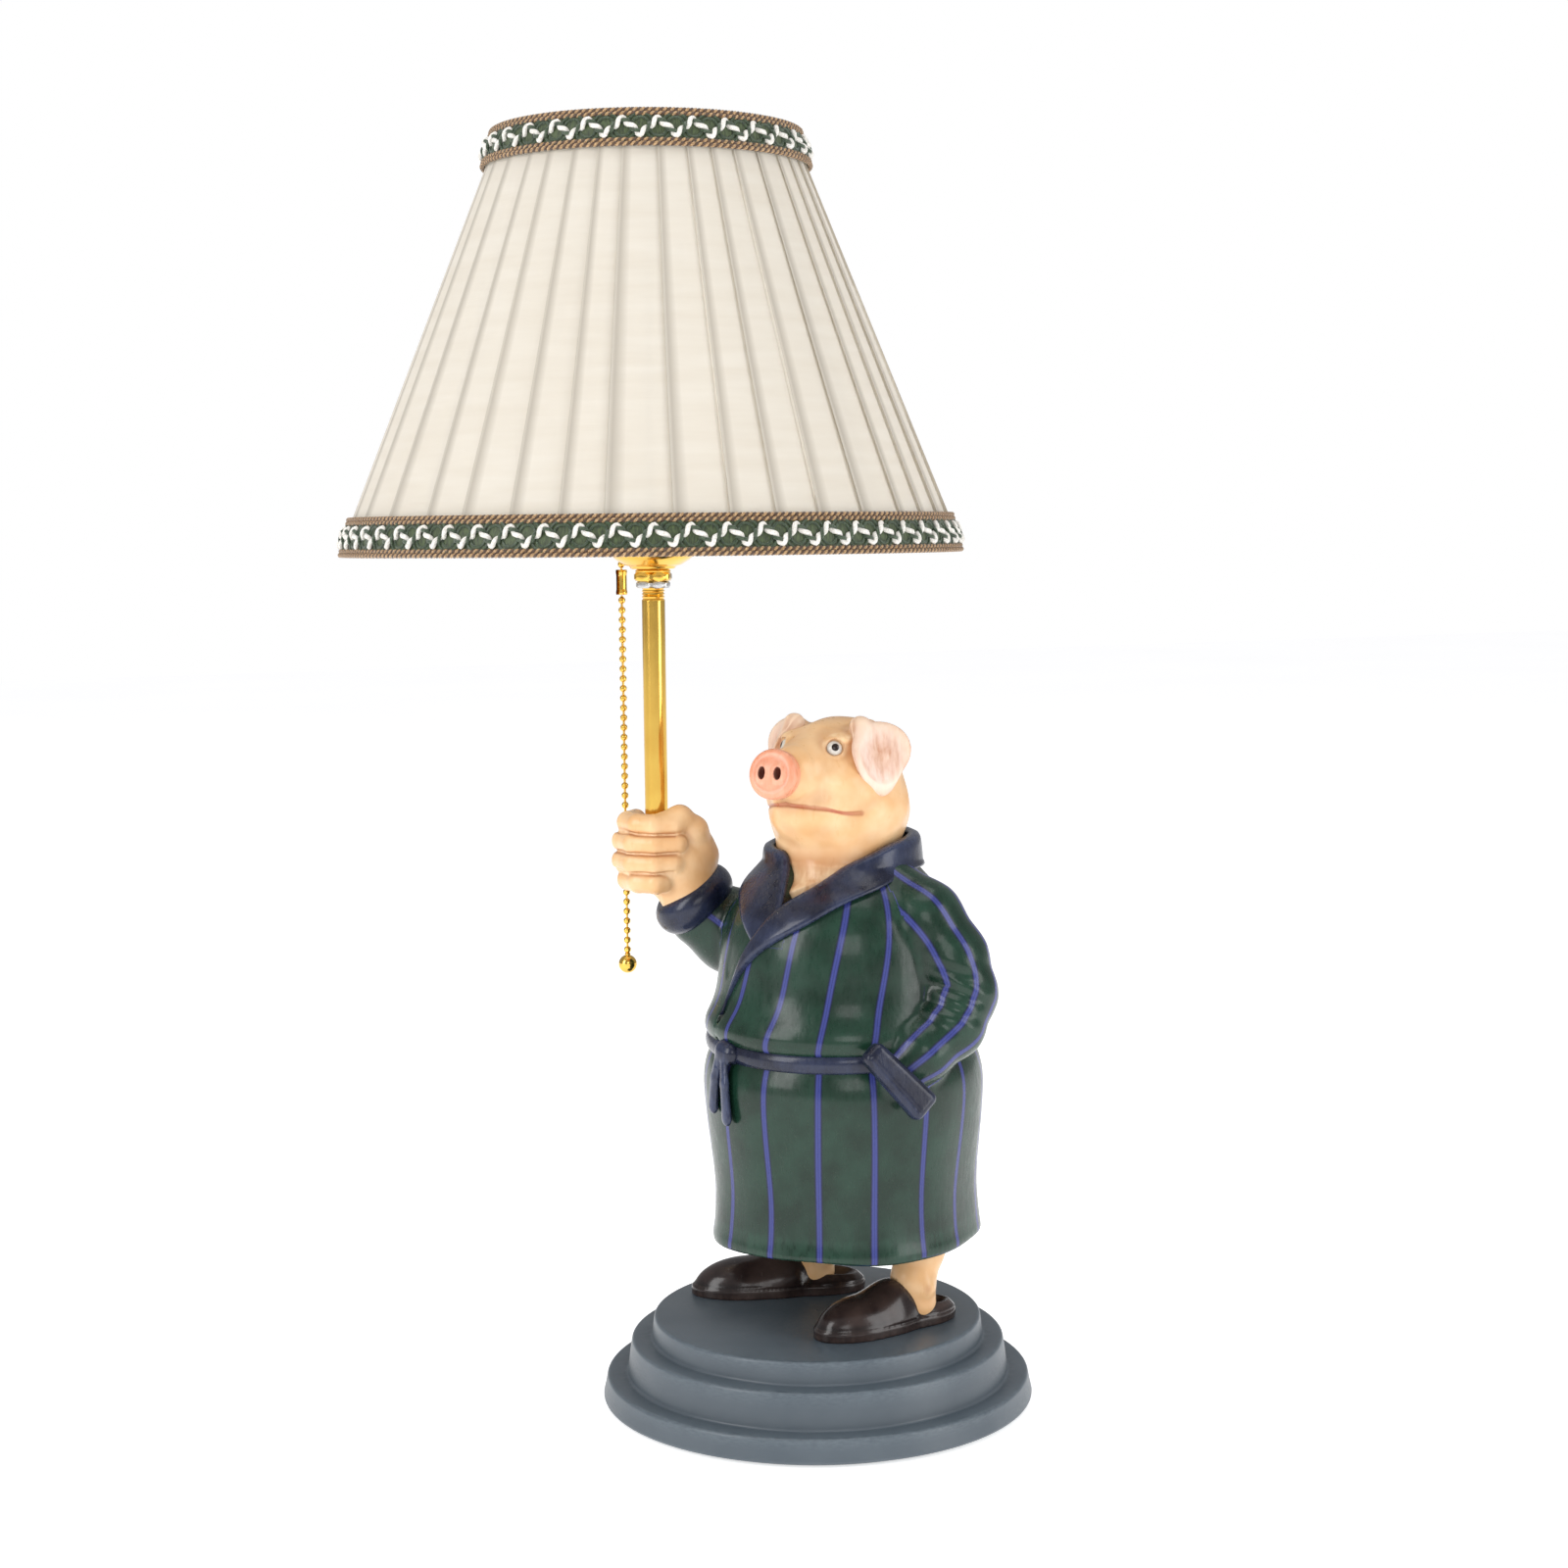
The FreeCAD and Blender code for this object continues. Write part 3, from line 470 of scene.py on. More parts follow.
def over(tree, shader, tone, share, paint):
    """Another paint over the tone where the share is 1."""
    result = blend(tree, share, tone, paint)
    wire(tree, shader, Base_Color=result)
    return result


def line_share(tree, name, half, soft=0.25):
    """1 within a line's half width, from a mark in millimetres off its middle."""
    off = calc(tree, "ABSOLUTE", mark(tree, name))
    return span(tree, off, half + soft, half - soft)


def robe_finish():
    """Dark green paint with violet stripes, each with a darker edge and a darker middle line."""
    made, tree, shader, tone = casting_finish(
        "robe_paint", colour(12, 40, 27), colour(2, 8, 5), colour(38, 74, 58), 0.3, 2.2, 0.5)
    bands = [
        (1.6, 0.35, colour(16, 20, 46)),
        (1.05, 0.35, colour(58, 66, 132)),
        (0.1, 0.25, colour(36, 40, 92)),
    ]
    for half, soft, paint in bands:
        tone = over(tree, shader, tone, line_share(tree, "stripe", half, soft), paint)
    return made


def head_finish():
    """Peach paint with a warm painted shade in the recesses and a reddish mouth line."""
    made, tree, shader, tone = casting_finish(
        "skin_paint", colour(232, 182, 128), colour(168, 102, 62), colour(250, 222, 180), 0.34, 3.0, 0.7)
    over(tree, shader, tone, line_share(tree, "line", 0.55, 0.45), colour(186, 92, 72))
    return made


def ear_finish():
    made, tree, shader, tone = casting_finish(
        "ear_paint", colour(240, 208, 180), colour(186, 122, 84), colour(252, 232, 212), 0.36, 2.0, 0.5)
    hair = noise(tree, 1.6, (1.0, 1.0, 0.16), 3.0)
    inside = calc(tree, "MULTIPLY", mark(tree, "inside"), span(tree, hair, 0.42, 0.6, 0.55, 1.0))
    over(tree, shader, tone, inside, colour(243, 218, 206))
    return made


def snout_finish():
    made, tree, shader, tone = casting_finish(
        "snout_paint", colour(228, 146, 112), colour(184, 92, 72), colour(246, 192, 162), 0.28, 2.0, 0.6)
    over(tree, shader, tone, mark(tree, "nostril"), colour(28, 20, 22))
    return made


FOLD_SHADE = 0.72


def fabric_finish(name, base, shade_tone, see_through):
    """Fine ribbed cloth that lets some light through, with painted shade where the pleats tuck under."""
    made, tree, shader = material(name, Roughness=0.85, Sheen_Weight=0.15, Sheen_Roughness=0.5)
    ribs = noise(tree, 2.2, (0.14, 0.14, 3.0), 2.0)
    slub = noise(tree, 12.0, (0.3, 0.3, 2.5), 2.0)
    tone = blend(tree, span(tree, slub, 0.25, 0.75, 0.25, 0.75), shade_tone, base)
    # Painted shade along each tuck, where the cloth lies doubled.
    tone = blend(tree, mark(tree, "fold_shade"), tone, tuple(c * FOLD_SHADE for c in shade_tone[:3]) + (1.0,))
    bumps = relief(tree, ribs, 0.12, 0.35)
    wire(tree, shader, Base_Color=tone, Normal=bumps)
    glow = add(tree, "ShaderNodeBsdfTranslucent", {"Color": tone, "Normal": bumps})
    both = add(tree, "ShaderNodeMixShader", {0: see_through, 1: shader.outputs[0], 2: glow.outputs[0]})
    tree.links.new(both.outputs[0], tree.nodes["Material Output"].inputs["Surface"])
    return made


def thread_finish(name, base, dark, rough=0.6, size=0.5, stretch=(1.0, 1.0, 1.0)):
    """Silky thread or twisted cord."""
    made, tree, shader = material(name, Sheen_Weight=0.3)
    strands = noise(tree, size, stretch, 2.0)
    wire(tree, shader, Base_Color=blend(tree, span(tree, strands, 0.3, 0.7), dark, base),
         Roughness=span(tree, strands, 0.0, 1.0, rough * 0.8, rough), Normal=relief(tree, strands, 0.15, 0.8))
    return made


def frosted_finish():
    made, tree, shader = material("bulb_glass", Transmission_Weight=0.6, IOR=1.45)
    haze = noise(tree, 0.4)
    wire(tree, shader, Base_Color=blend(tree, haze, colour(244, 243, 238), colour(252, 251, 247)),
         Roughness=span(tree, haze, 0.0, 1.0, 0.35, 0.5))
    return made


# In each casting finish the colours are the base, the painted shade for the recesses and the painted
# highlight for the ridges.
PAINTS = {
    "plinth_paint": plinth_finish(),
    "felt": moulded_finish("felt", colour(46, 58, 50), 0.95, 0.6, 0.15),
    "bush_plastic": moulded_finish("bush_plastic", colour(32, 32, 34), 0.45),
    "steel": metal_finish("steel", colour(205, 205, 205), colour(150, 148, 146), 0.3),
    "brass": metal_finish("brass", colour(238, 196, 96), colour(208, 154, 62), 0.14, (1.0, 1.0, 0.1)),
    "liner_card": moulded_finish("liner_card", colour(150, 122, 88), 0.8),
    "phenolic": moulded_finish("phenolic", colour(52, 42, 38), 0.3),
    "aluminium_shell": metal_finish("aluminium_shell", colour(222, 222, 224), colour(188, 188, 190), 0.25),
    "bulb_glass": frosted_finish(),
    "shade_fabric": fabric_finish("shade_fabric", colour(234, 229, 219), colour(222, 214, 200), 0.3),
    "shade_lining": fabric_finish("shade_lining", colour(248, 246, 240), colour(243, 239, 230), 0.3),
    "frame_wire": moulded_finish("frame_wire", colour(238, 236, 230), 0.35),
    "skin_paint": head_finish(),
    "ear_paint": ear_finish(),
    "snout_paint": snout_finish(),
    "robe_paint": robe_finish(),
    "navy_paint": casting_finish("navy_paint", colour(19, 23, 42), colour(4, 5, 12), colour(66, 76, 106),
                                 0.28, 2.2, 0.8)[0],
    "slipper_paint": casting_finish("slipper_paint", colour(38, 29, 28), colour(10, 7, 7), colour(84, 68, 62),
                                    0.22, 3.0, 0.5)[0],
    "eye_white": moulded_finish("eye_white", colour(226, 222, 214), 0.12, 2.0, 0.0),
    "eye_paint": moulded_finish("eye_paint", colour(40, 27, 22), 0.08, 2.0, 0.0),
    "green_band": thread_finish("green_band", colour(78, 94, 54), colour(34, 44, 24), 0.6, 0.7,
                                (1.0, 1.0, 0.15)),
    "green_cord": thread_finish("green_cord", colour(66, 86, 56), colour(24, 36, 24), 0.45, 0.6),
    "white_cord": thread_finish("white_cord", colour(246, 244, 238), colour(206, 200, 190), 0.5, 0.7),
    "gold_cord": thread_finish("gold_cord", colour(206, 170, 122), colour(128, 92, 56), 0.4, 0.5),
    "brown_cord": thread_finish("brown_cord", colour(92, 62, 38), colour(42, 28, 18), 0.45, 0.5),
}


# ---------------------------------------------------------------- base

STEPS = [(93.3, 91.4, 11.7), (82.7, 80.6, 27.0), (72.0, 70.8, 36.6)]
EDGE = 1.5
COVE = 1.2
SEAT_Z = STEPS[-1][2]
FELT_TOP = 1.5
FELT_R = 89.0
AXIS_GAP = 0.5
EDGE_HIGHLIGHT_REACH = 4.5
BUSH = np.array((-92.7, 0.0, 6.3))


def plinth():
    """Three turned steps with rounded edges and small coves, and an edge mark for the painted highlight."""
    corners = [(AXIS_GAP, FELT_TOP, 0), (STEPS[0][0] - 0.6, FELT_TOP, 0.5)]
    below = 0.0
    for k, (foot, top, height) in enumerate(STEPS):
        if k:
            corners.append((foot + COVE, below, 0))
            corners.append((foot, below, COVE * 0.9))
            corners.append((foot - 0.15, below + COVE, 0))
        else:
            corners.append((foot, FELT_TOP + 1.0, 0.6))
        corners.append(((foot + top) / 2, height * 0.55 + below * 0.45, 0.0))
        corners.append((top, height, EDGE))
        below = height
    corners.append((AXIS_GAP, SEAT_Z, 0))
    shape = lathe(rounded(corners, 7), (0, 0), 240)
    points = shape[0]
    reach = np.hypot(points[:, 0], points[:, 1])
    edge = np.zeros(len(points))
    for _, top, height in STEPS:
        gap = np.hypot(reach - top, points[:, 2] - height)
        edge = np.maximum(edge, np.clip(1.25 - gap / EDGE_HIGHLIGHT_REACH, 0, 1))
    piece("base_steps", shape, "plinth_paint", ["base_plinth"], marks={"edge": edge})


def felt():
    outline = rounded([(AXIS_GAP, 0.0, 0), (FELT_R, 0.0, 0.5), (FELT_R, FELT_TOP, 0.2),
                       (AXIS_GAP, FELT_TOP, 0)], 4)
    piece("felt_disc", lathe(outline, (0, 0), 180), "felt", ["felt_pad"])


def bush():
    """The cord's bush: a sleeve with a rounded flange, on a level axis."""
    outline = rounded([(3.1, -16.0, 0.3), (3.9, -16.0, 0.3), (3.9, 0.0, 0), (4.6, 0.0, 0), (4.6, 2.0, 0.9),
                       (3.1, 2.0, 0.7)], 6)
    points, faces = lathe(outline, (0, 0), 64)
    x, y, z = points.T
    piece("cord_bush_sleeve", (BUSH + np.stack([-z, y, x], -1), faces), "bush_plastic", ["cord_bush"])


# ---------------------------------------------------------------- column and lampholder

TUBE_R = 5.0
TUBE_BORE = 3.9
TUBE_Z = (228.0, 366.0)
THREAD_Z = (345.6, 352.0)
NUT_Z = (350.8, 353.7)
NECK_Z = (353.9, 358.9)
NUT_BORE = 4.7


def hexagon(across, low, high, bore, chamfer=0.7):
    """A six-sided nut with turned-down corners and a bore."""
    segments = 72
    turn = circle(segments)
    flat = (across / 2) / np.cos((turn + math.pi / 6) % (math.pi / 3) - math.pi / 6)
    flat = np.minimum(flat, across / 2 * 1.12)
    inner = across / 2 - 0.2
    rings = [(bore, low), (inner, low), (flat, low + chamfer),
             (flat, high - chamfer), (inner, high), (bore, high)]
    rows = [polar(POLE, turn, radius, height) for radius, height in rings]
    return np.concatenate(rows), grid_faces(len(rings), segments, True)


def ridged(radius, depth, low, high, pitch):
    """The outline of a run of thread, as rounded ridges."""
    count = int((high - low) / pitch) * 6
    height = np.linspace(low, high, count)
    return [(radius - depth * (0.5 - 0.5 * math.cos(2 * math.pi * (z - low) / pitch)), z) for z in height]


def column():
    """The tube with its threaded top, the lock nut and the hexagon collar with its turned shoulder."""
    threads = ridged(TUBE_R, 0.55, *THREAD_Z, 1.3)
    outline = [(TUBE_BORE, TUBE_Z[0]), (TUBE_R, TUBE_Z[0]), (TUBE_R, THREAD_Z[0] - 0.4)] + threads
    outline += [(TUBE_R - 0.4, TUBE_Z[1]), (TUBE_BORE, TUBE_Z[1])]
    piece("column_tube", lathe(outline, segments=64), "brass", ["lamp_pole"])
    piece("column_nut", hexagon(14.0, *NUT_Z, NUT_BORE), "steel", ["pole_nut"])
    lower = hexagon(15.5, NECK_Z[0], 357.6, NUT_BORE, 0.9)
    profile = rounded([(NUT_BORE, 357.4, 0), (7.4, 357.4, 0.4), (7.8, 358.2, 0.5), (7.0, NECK_Z[1], 0.3),
                       (NUT_BORE, NECK_Z[1], 0)])
    piece("column_collar", joined([lower, lathe(profile, segments=64)]), "brass", ["neck_collar"])


def cap():
    """The flared cup under the lampholder, with a rolled rim and a bead round its foot."""
    outline = rounded([(TUBE_R, 359.0, 0), (9.4, 359.0, 0.6), (10.2, 360.3, 0.7), (12.2, 360.7, 0.6),
                       (16.6, 363.4, 1.6), (18.9, 366.2, 1.0), (18.9, 376.0, 0.4), (17.9, 376.0, 0.3),
                       (17.9, 367.2, 1.0), (15.6, 364.6, 1.6), (11.4, 361.9, 0.8), (TUBE_R, 360.2, 0)], 6)
    piece("socket_cup", lathe(outline, segments=96), "brass", ["socket_cap"])


def shell():
    """The lampholder's side wall, beaded and stepped in to its threaded mouth."""
    thread = ridged(15.2, 0.45, 406.0, 415.4, 2.2)
    corners = [(17.0, 369.5, 0), (17.7, 369.5, 0), (17.7, 378.6, 0), (18.0, 379.4, 0), (17.7, 380.2, 0),
               (17.7, 402.5, 0.6), (16.2, 404.0, 0.6), (15.2, 404.2, 0)]
    inner = [(14.5, 415.8), (14.5, 403.4), (16.0, 403.2), (17.0, 402.0)]
    outline = list(rounded(corners, 4))[:-1] + thread + inner
    piece("socket_wall", lathe(outline, segments=96), "brass", ["socket_shell"])


def nut_ring():
    """The ring nut that clamps the shade, ribbed round its rim for the fingers."""
    segments = 180
    outline = rounded([(15.25, 405.5, 0), (18.6, 405.5, 0.6), (18.6, 411.0, 0.8), (15.25, 411.0, 0.3)], 5)
    points, faces = lathe(outline, segments=segments)
    offset = points[:, :2] - POLE
    reach = np.hypot(*offset.T)
    turn = np.arctan2(offset[:, 1], offset[:, 0])
    rib = 0.35 * np.clip((reach - 17.5) / 0.8, 0, 1) * np.cos(30 * turn)
    points[:, :2] += offset / reach[:, None] * rib[:, None]
    piece("shade_ring_nut", (points, faces), "phenolic", ["ring_nut"])


def bulb():
    """The lamp bulb: a blown envelope and a rolled screw cap."""
    neck = [(417.0, 12.4), (421.0, 12.9), (429.0, 16.2), (436.0, 20.3), (443.0, 24.4), (452.0, 28.6),
            (462.0, 30.0), (472.0, 28.4), (480.0, 24.2), (486.0, 18.2), (490.0, 11.0), (491.6, 5.4),
            (492.0, 0.3)]
    line = curved([(r, z, 0) for z, r in neck], 60)[:, :2]
    piece("bulb_envelope", lathe(line, segments=96, closed=False), "bulb_glass", ["bulb_glass"],
          "bulb_body")
    outline = [(0.3, 390.6), (4.0, 390.6), (4.2, 391.6), (9.5, 392.6), (12.2, 395.2)]
    outline += ridged(13.05, 0.7, 395.6, 413.0, 3.6) + [(13.0, 414.0), (13.0, 417.0), (0.3, 417.0)]
    piece("bulb_cap", lathe(outline, segments=72), "aluminium_shell", ["bulb_base"], "bulb_body")


# ---------------------------------------------------------------- pull chain

CHAIN_TURN = math.radians(190.5)
CHAIN = POLE + 25.8 * np.array((math.cos(CHAIN_TURN), math.sin(CHAIN_TURN)))
BEAD_R = 1.6
LINK_R = 0.42
PITCH = 4.3
CLASP_Z = (347.5, 358.5)
BALL_R = 4.1
BALL_Z = 182.5


def bead_outline(middle):
    """One hollow bead with its seam and its two pinched ends."""
    turn = np.linspace(-1.25, 1.25, 15)
    radius = BEAD_R * np.cos(turn)
    radius -= 0.09 * np.exp(-((turn / 0.07) ** 2))
    return [(max(r, LINK_R), middle + BEAD_R * math.sin(t)) for r, t in zip(radius, turn)]


def bead_string(top, bottom):
    """A run of beads joined by short wire links."""
    count = int(round((top - bottom) / PITCH))
    pitch = (top - bottom) / count
    outline = [(0.05, bottom), (LINK_R, bottom)]
    for k in reversed(range(count)):
        outline += bead_outline(top - pitch * (k + 0.5))
    return lathe(outline + [(LINK_R, top), (0.05, top)], CHAIN, 20)


def clasp():
    """The coupling: a rolled barrel open down one side, with a bead held at each end."""
    low, high = CLASP_Z
    sweep = np.linspace(math.radians(15), math.radians(305), 40) + math.radians(-60)
    wall = rounded([(2.0, low, 0), (2.4, low, 0.2), (2.55, low + 1.0, 0.3), (2.3, low + 2.4, 0.3),
                    (2.3, high - 2.4, 0.3), (2.55, high - 1.0, 0.3), (2.4, high, 0.2), (2.0, high, 0)], 4)
    radius, height = wall.T
    points = polar(CHAIN, sweep, radius[:, None], height[:, None]).reshape(-1, 3)
    barrel = (points, grid_faces(len(wall), len(sweep), True, False))
    tab = tube([(*CHAIN, low + 4.2), (*CHAIN, low + 6.8)], 1.9, 12)
    beads = bead_string(high + 0.2, low + 6.6)
    return joined([barrel, tab, beads])


def chain():
    """The beads above the coupling, the coupling, the beads below it and the ball at the end."""
    upper, lower = "upper_chain_body", "lower_chain_body"
    piece("chain_short_run", bead_string(376.3, CLASP_Z[1] + 0.2), "brass", ["chain_upper"], upper)
    piece("chain_clasp", clasp(), "brass", ["chain_coupling"], upper)
    piece("chain_long_run", bead_string(CLASP_Z[0] - 0.3, 186.8), "brass", ["chain_lower"], lower)
    outline = [(0.02, 178.4)]
    for t in np.linspace(-1.5, 1.45, 40):
        seam = 0.08 * math.exp(-((t / 0.03) ** 2))
        outline.append((BALL_R * math.cos(t) - seam, BALL_Z + BALL_R * math.sin(t)))
    outline += rounded([(1.3, 186.4, 0), (1.3, 187.3, 0.2), (0.5, 187.6, 0)], 3).tolist()
    piece("chain_pull_ball", lathe(outline, CHAIN, 40, False), "brass", ["chain_ball"], lower)


# ---------------------------------------------------------------- shade

CONE = np.array([(132.4, 365.6), (127.9, 382.5), (69.0, 528.3), (64.6, 544.0)])
PLEATS = 36
PLEAT_DEPTH = (1.9, 1.2)
RIBS = 8
RIB_TURN = math.radians(22.5)
CLOTH_Z = (366.4, 543.2)
LINING_Z = (366.6, 543.0)
LINING_INSET = 3.0

# A braid's section as (share of its height, height off the cloth), and its edge cords as (share, phase).
BAND_SECTION = [(0.03, 0.1), (0.0, 0.5), (0.03, 1.0), (0.5, 1.25), (0.97, 1.0), (1.0, 0.5), (0.97, 0.1)]
WEAVE_DEPTH = 0.12
EDGE_CORDS = [(0.05, 0), (0.15, 1.5), (0.85, 0), (0.95, 1.5)]
EDGE_PROUD = 1.1
EDGE_SIZE = 0.85
LOOP_SIZES = (0.36, 0.23)
LOOP_PROUD = 1.3
LOOP_R = 0.62
ZIGZAG_PROUD = 2.1


def cone_radius(height):
    return np.interp(height, CONE[:, 1], CONE[:, 0])


def pleat_columns():
    """Angles and depths, from 0 to 1, across every knife pleat: out to the pleat's edge, then tucked back
    under.
    """
    rng = np.random.default_rng(SEED)
    widths = rng.uniform(0.78, 1.22, PLEATS)
    starts = np.concatenate([[0], np.cumsum(widths)]) / widths.sum()
    across = [(0.02, 0.86), (0.0, 0.97), (0.015, 1.0), (0.08, 0.97), (0.3, 0.78), (0.55, 0.55), (0.8, 0.36),
              (0.97, 0.22), (1.05, 0.12), (1.075, 0.03), (1.06, 0.0), (1.03, 0.12)]
    turns, depths = [], []
    for k in range(PLEATS):
        width = starts[k + 1] - starts[k]
        for share, depth in across:
            turns.append((starts[k] + share * width) * 2 * math.pi)
            depths.append(depth)
    return np.array(turns), np.array(depths)


def pleated_cloth():
    """The knife-pleated cloth, and a mark of painted shade along the tuck at each pleat's edge."""
    turns, depths = pleat_columns()
    rng = np.random.default_rng(SEED + 1)
    heights = np.linspace(*CLOTH_Z, 56)
    rise = (heights - heights[0]) / (heights[-1] - heights[0])
    depth = np.interp(rise, (0, 1), PLEAT_DEPTH)
    sway = np.repeat(rng.uniform(-1, 1, PLEATS), len(turns) // PLEATS)
    bow = 0.006 * np.sin(math.pi * rise)[:, None] * sway[None, :]
    angle = turns[None, :] + bow
    radius = cone_radius(heights)[:, None] - 0.25 - depth[:, None] * (1 - depths[None, :])
    points = polar(POLE, angle, radius, heights[:, None]).reshape(-1, 3)
    # The painted shade mark: strongest along each tuck.
    tucked = np.clip(1 - np.abs(depths - 0.97) / 0.06, 0, 1) * (depths > 0.9)
    return points, grid_faces(len(heights), len(turns)), np.tile(tucked, len(heights))


def lining_cloth():
    """The lining, drawn straight from rib to rib."""
    turns = circle(192)
    heights = np.linspace(*LINING_Z, 30)
    gore = 2 * math.pi / RIBS
    off = (turns - RIB_TURN) % gore - gore / 2
    pull = np.cos(gore / 2) / np.cos(off) * 0.5 + 0.5
    radius = (cone_radius(heights)[:, None] - LINING_INSET) * pull[None, :]
    points = polar(POLE, turns, radius, heights[:, None]).reshape(-1, 3)
    return points, grid_faces(len(heights), len(turns))


def on_band(turn, low, high, share, proud):
    """Points on a braid: an angle, a share of its height and a height off the cloth."""
    height = low + (high - low) * share
    return polar(POLE, turn, cone_radius(height) + proud, height)


def twisted(path, radius, pitch, phase, lift_axis):
    """One strand of a two-strand cord that twists about a path."""
    step = np.linalg.norm(np.roll(path, -1, 0) - path, axis=1)
    run = np.concatenate([[0], np.cumsum(step)[:-1]])
    total = step.sum()
    angle = run / total * 2 * math.pi * round(total / pitch) + phase
    along = unit(np.roll(path, -1, 0) - np.roll(path, 1, 0))
    side = unit(np.cross(along, lift_axis))
    return path + radius * (side * np.cos(angle)[:, None] + lift_axis * np.sin(angle)[:, None])


def outward(path):
    """The level directions away from the column."""
    lift = path - np.array([*POLE, 0])
    lift[:, 2] = 0
    return unit(lift)


def edge_cord(low, high, share, phase):
    """The gold and the brown strand of a cord laid round the band's edge."""
    path = on_band(circle(int(2 * math.pi * cone_radius(low) / 0.55)), low, high, share, EDGE_PROUD)
    lift = outward(path)
    strands = [twisted(path, EDGE_SIZE * 0.55, 3.0, phase + k * math.pi, lift) for k in (0, 1)]
    return [tube(strand, EDGE_SIZE * 0.75, 6, True) for strand in strands]


def zigzag(low, high, waves, samples):
    """The white cord's line, pointed at its turns."""
    turn = circle(waves * samples)
    phase = turn * waves / (2 * math.pi) % 1
    wave = 1 - 4 * np.abs(phase - 0.5)
    wave = np.sin(wave * math.pi / 2 * 0.96) * 0.35 + wave * 0.65
    return on_band(turn, low, high, 0.5 + 0.2 * wave, ZIGZAG_PROUD)


def half_moons(low, high, waves):
    """Pairs of nested loops of green cord, by turns at the band's upper and lower edge."""
    loops = []
    turn_step = 2 * math.pi / waves
    arc = np.linspace(0, math.pi, 14)
    for k in range(waves):
        for half, sign in ((0.0, 1), (0.5, -1)):
            for size in LOOP_SIZES:
                turn = (k + half) * turn_step + turn_step * size * np.cos(arc)
                share = 0.5 + sign * (0.06 + 0.62 * size * np.sin(arc) * 1.35)
                loops.append(tube(on_band(turn, low, high, share, LOOP_PROUD), LOOP_R, 6))
    return joined(loops)


def braid(name, low, high, waves):
    """A green band with gold edges, green loops and a white twisted zigzag."""
    turn = circle(waves * 16)
    weave = WEAVE_DEPTH * (np.arange(len(turn)) % 2)
    rows = [on_band(turn, low, high, share, proud + weave) for share, proud in BAND_SECTION]
    band = (np.concatenate(rows), grid_faces(len(rows), len(turn), True))
    cords = [edge_cord(low, high, share, phase) for share, phase in EDGE_CORDS]
    path = zigzag(low, high, waves, 48)
    lift = outward(path)
    pitch = np.linalg.norm(np.roll(path, -1, 0) - path, axis=1).sum() / waves / 3
    white, green = [twisted(path, 0.75, pitch, 0.6 + k * math.pi, lift) for k in (0, 1)]
    layers = [
        ("_band", band, "green_band"),
        ("_gold_edges", joined([pair[0] for pair in cords]), "gold_cord"),
        ("_brown_edges", joined([pair[1] for pair in cords]), "brown_cord"),
        ("_loops", half_moons(low, high, waves), "green_cord"),
        ("_white_strand", tube(white, 1.0, 8, True), "white_cord"),
        ("_green_strand", tube(green, 0.75, 8, True), "green_cord"),
    ]
    pieces = []
    for layer, shape, paint in layers:
        replaces = [name] if layer == "_band" else ()
        pieces.append(piece(name + layer, shape, paint, replaces, "shade_body"))
    return pieces


def shade():
    points, faces, folds = pleated_cloth()
    cloth = piece("pleated_fabric", (points, faces), "shade_fabric", ["shade_fabric"], "shade_body",
                  marks={"fold_shade": folds}, sharp=80.0)
    inner = piece("lining_fabric", lining_cloth(), "shade_lining", ["shade_lining"], "shade_body", sharp=80.0)
    lower = braid("braid_bottom", 365.6, 382.0, 58)
    upper = braid("braid_top", 528.6, 544.0, 30)


# ---------------------------------------------------------------- figure: dressing gown

ROBE_STEP = 0.9
ROBE_LOW = np.array((-72.0, -63.0, 63.0))
ROBE_HIGH = np.array((81.0, 81.0, 252.0))
ARM_LEFT = [(30, 20, 224, 14), (43, 30, 212, 17), (51, 38, 196, 16.5), (55, 41, 182, 15.5),
            (59, 34, 170, 14.5), (61.5, 20, 160, 12.2), (60.5, 10, 152.5, 10)]
ARM_RIGHT = [(-16, 14, 214, 15), (-36, -3, 200, 18.5), (-43, -19, 199, 18.3), (-46, -31.5, 208, 16)]
BELT_Z = 157.5
HEM_Z = 72.6
STRIPE_GAP = 22.5
STRIPE_START = -14.0
STRIPE_LEAN = 0.22
LEAN_FROM = 162.0
GIRTH = [(66, 56.8), (78, 57.0), (101, 56.2), (124, 58.7), (140, 59.8), (150, 58.3), (157.5, 55.8),
         (164, 58.1), (174, 55.0), (188, 52.7), (204, 50.7), (215, 46.5), (226, 38.0), (236, 29.5)]
ELBOW_FOLD = (67.0, 31.0, 183.0)
FOLD_DEPTH = 0.75
FOLD_PITCH = 8.5
HEM_HOLLOW = (52.5, 80.0)
REACHES = np.linspace(20, 72, 209)

# The front closure above the belt, as (angle, height).
CLOSURE = [(-88, 178), (-90, 170), (-91, 162)]
CLOSURE_REACH = 57.0

# How high the gown's front reaches at each angle: down to the point of the V.
OPENING_TURN = (-98, -79, -69, -62, -44, -25.6, -7, 17, 90, 180)
OPENING_HEIGHT = (240, 239, 231, 219.5, 228, 235, 239, 243, 246, 243)


def about_body(points):
    """Angle in degrees and reach from the body's upright axis."""
    offset = points[:, :2] - BODY
    return np.degrees(np.arctan2(offset[:, 1], offset[:, 0])), np.hypot(*offset.T)


def body_point(turn, reach, height):
    """Points at these angles in degrees, reaches and heights about the body's upright axis."""
    return polar(BODY, np.radians(turn), reach, height)


